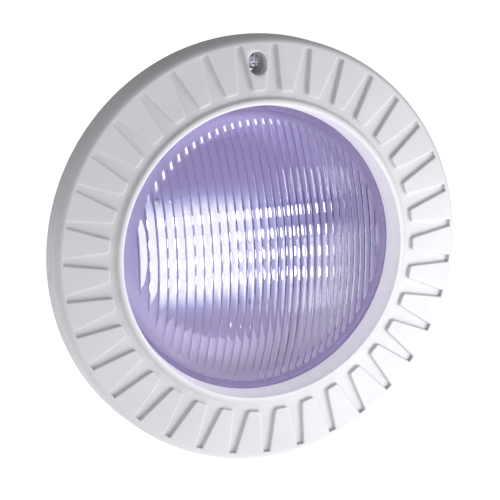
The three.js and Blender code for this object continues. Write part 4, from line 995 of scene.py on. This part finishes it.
# %% Finish the kept pieces
KEPT = [
    ("bottom_hook", PRESSED_STEEL, 0.35), ("ring_clip_", PRESSED_STEEL, 0.35),
    ("led_board_screw", SCREW_STEEL, 0.15), ("driver_screw", SCREW_STEEL, 0.15),
    # The LED board wears the painted light of the rows.
    ("led_board", BOARD_GLOW, 0.1), ("heat_sink", ALUMINIUM, 0.3),
    ("led_cable", BLACK_RUBBER, 0.2), ("driver_board", GREEN_BOARD, 0.1), ("standoff", BRASS, 0.2),
    ("transformer", DARK_PLASTIC, 0.8), ("capacitor", DARK_PLASTIC, 0.5), ("choke", COPPER, 0.0),
    ("terminal_block", WHITE_BOARD, 0.4), ("ground_", BRASS, 0.2),
]
for name, node in sorted(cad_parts.items()):
    if node.hide_render:
        continue
    finish, edge = next((f, e) for prefix, f, e in KEPT if name.startswith(prefix))
    node.data.materials.clear()
    node.data.materials.append(finish)
    weld = node.modifiers.new("weld", "WELD")
    weld.merge_threshold = 1e-5
    if edge:
        bevel = node.modifiers.new("bevel", "BEVEL")
        bevel.width, bevel.segments, bevel.limit_method = edge * MM, 2, "ANGLE"
        bevel.angle_limit = math.radians(40)
        bevel.use_clamp_overlap = True
    print("kept", name)

# %% [markdown]
# ## Floor and light
# A plain pale floor lies well below the lamp and throws soft light up on it, as a white table
# does. A large soft box stands low at the right and grazes the ring, which brings out the pads.
# A narrow one at the upper right shows in the flutes as pale upright streaks, as a window would.
# The sky gives only a weak fill, so faces that look up stay in shade.

# %% Floor
FLOOR_HALF, FLOOR_Z = 15000, -900.0
sides = np.linspace(-FLOOR_HALF, FLOOR_HALF, 2)
corner_x, corner_y = np.meshgrid(sides, sides)
corners = np.stack([corner_x, corner_y, np.full((2, 2), FLOOR_Z)], -1)
floor = mesh_object("floor", [(corners, False, False)])
floor_finish, floor_tree, floor_shader, coords = new_finish("pale_floor", (0.8, 0.8, 0.8), 0.8)
pale = ramp(floor_tree, noise(floor_tree, coords, 3, 2), (0.3, (0.97, 0.97, 0.97)),
            (0.7, (1, 1, 1)))
floor_tree.links.new(pale, floor_shader.inputs["Emission Color"])
floor_shader.inputs["Emission Strength"].default_value = 0.9
floor.data.materials.append(floor_finish)

# %% Sky
scene = bpy.context.scene
scene.world = bpy.data.worlds.new("soft_sky")
scene.world.use_nodes = True
sky = scene.world.node_tree
seen = sky.nodes.new("ShaderNodeLightPath").outputs["Is Camera Ray"]
level = sky.nodes.new("ShaderNodeMapRange")
level.inputs["To Min"].default_value, level.inputs["To Max"].default_value = 0.30, 1.02
sky.links.new(seen, level.inputs["Value"])
sky.links.new(level.outputs["Result"], sky.nodes["Background"].inputs["Strength"])
sky.nodes["Background"].inputs["Color"].default_value = (1, 1, 1, 1)
scene.view_settings.view_transform = "Standard"

# %% Soft boxes
def soft_box(name, place, size, power, color=(1, 1, 1)):
    """An area light that faces the middle of the lamp."""
    light = bpy.data.lights.new(name, "AREA")
    light.shape, light.size, light.size_y = "RECTANGLE", size[0], size[1]
    light.energy, light.color = power, color
    box = bpy.data.objects.new(name, light)
    box.location = place
    box.rotation_mode = "QUATERNION"
    box.rotation_quaternion = (-Vector(place)).to_track_quat("-Z", "Y")
    scene.collection.objects.link(box)


def from_clock(clock, off_axis, distance):
    """A place in front of the lamp, by clock angle and angle from the lamp's axis."""
    c, o = math.radians(clock), math.radians(off_axis)
    reach = distance * math.sin(o)
    return (reach * math.sin(c), -distance * math.cos(o), reach * math.cos(c))


soft_box("key", from_clock(120, 48, 0.62), (0.4, 0.4), 2.3)
soft_box("lavender_fill", from_clock(265, 55, 1.2), (0.6, 0.6), 0.6, (0.86, 0.84, 1))
soft_box("window", from_clock(68, 58, 1.4), (0.16, 0.34), 2.6, (0.95, 0.97, 1))
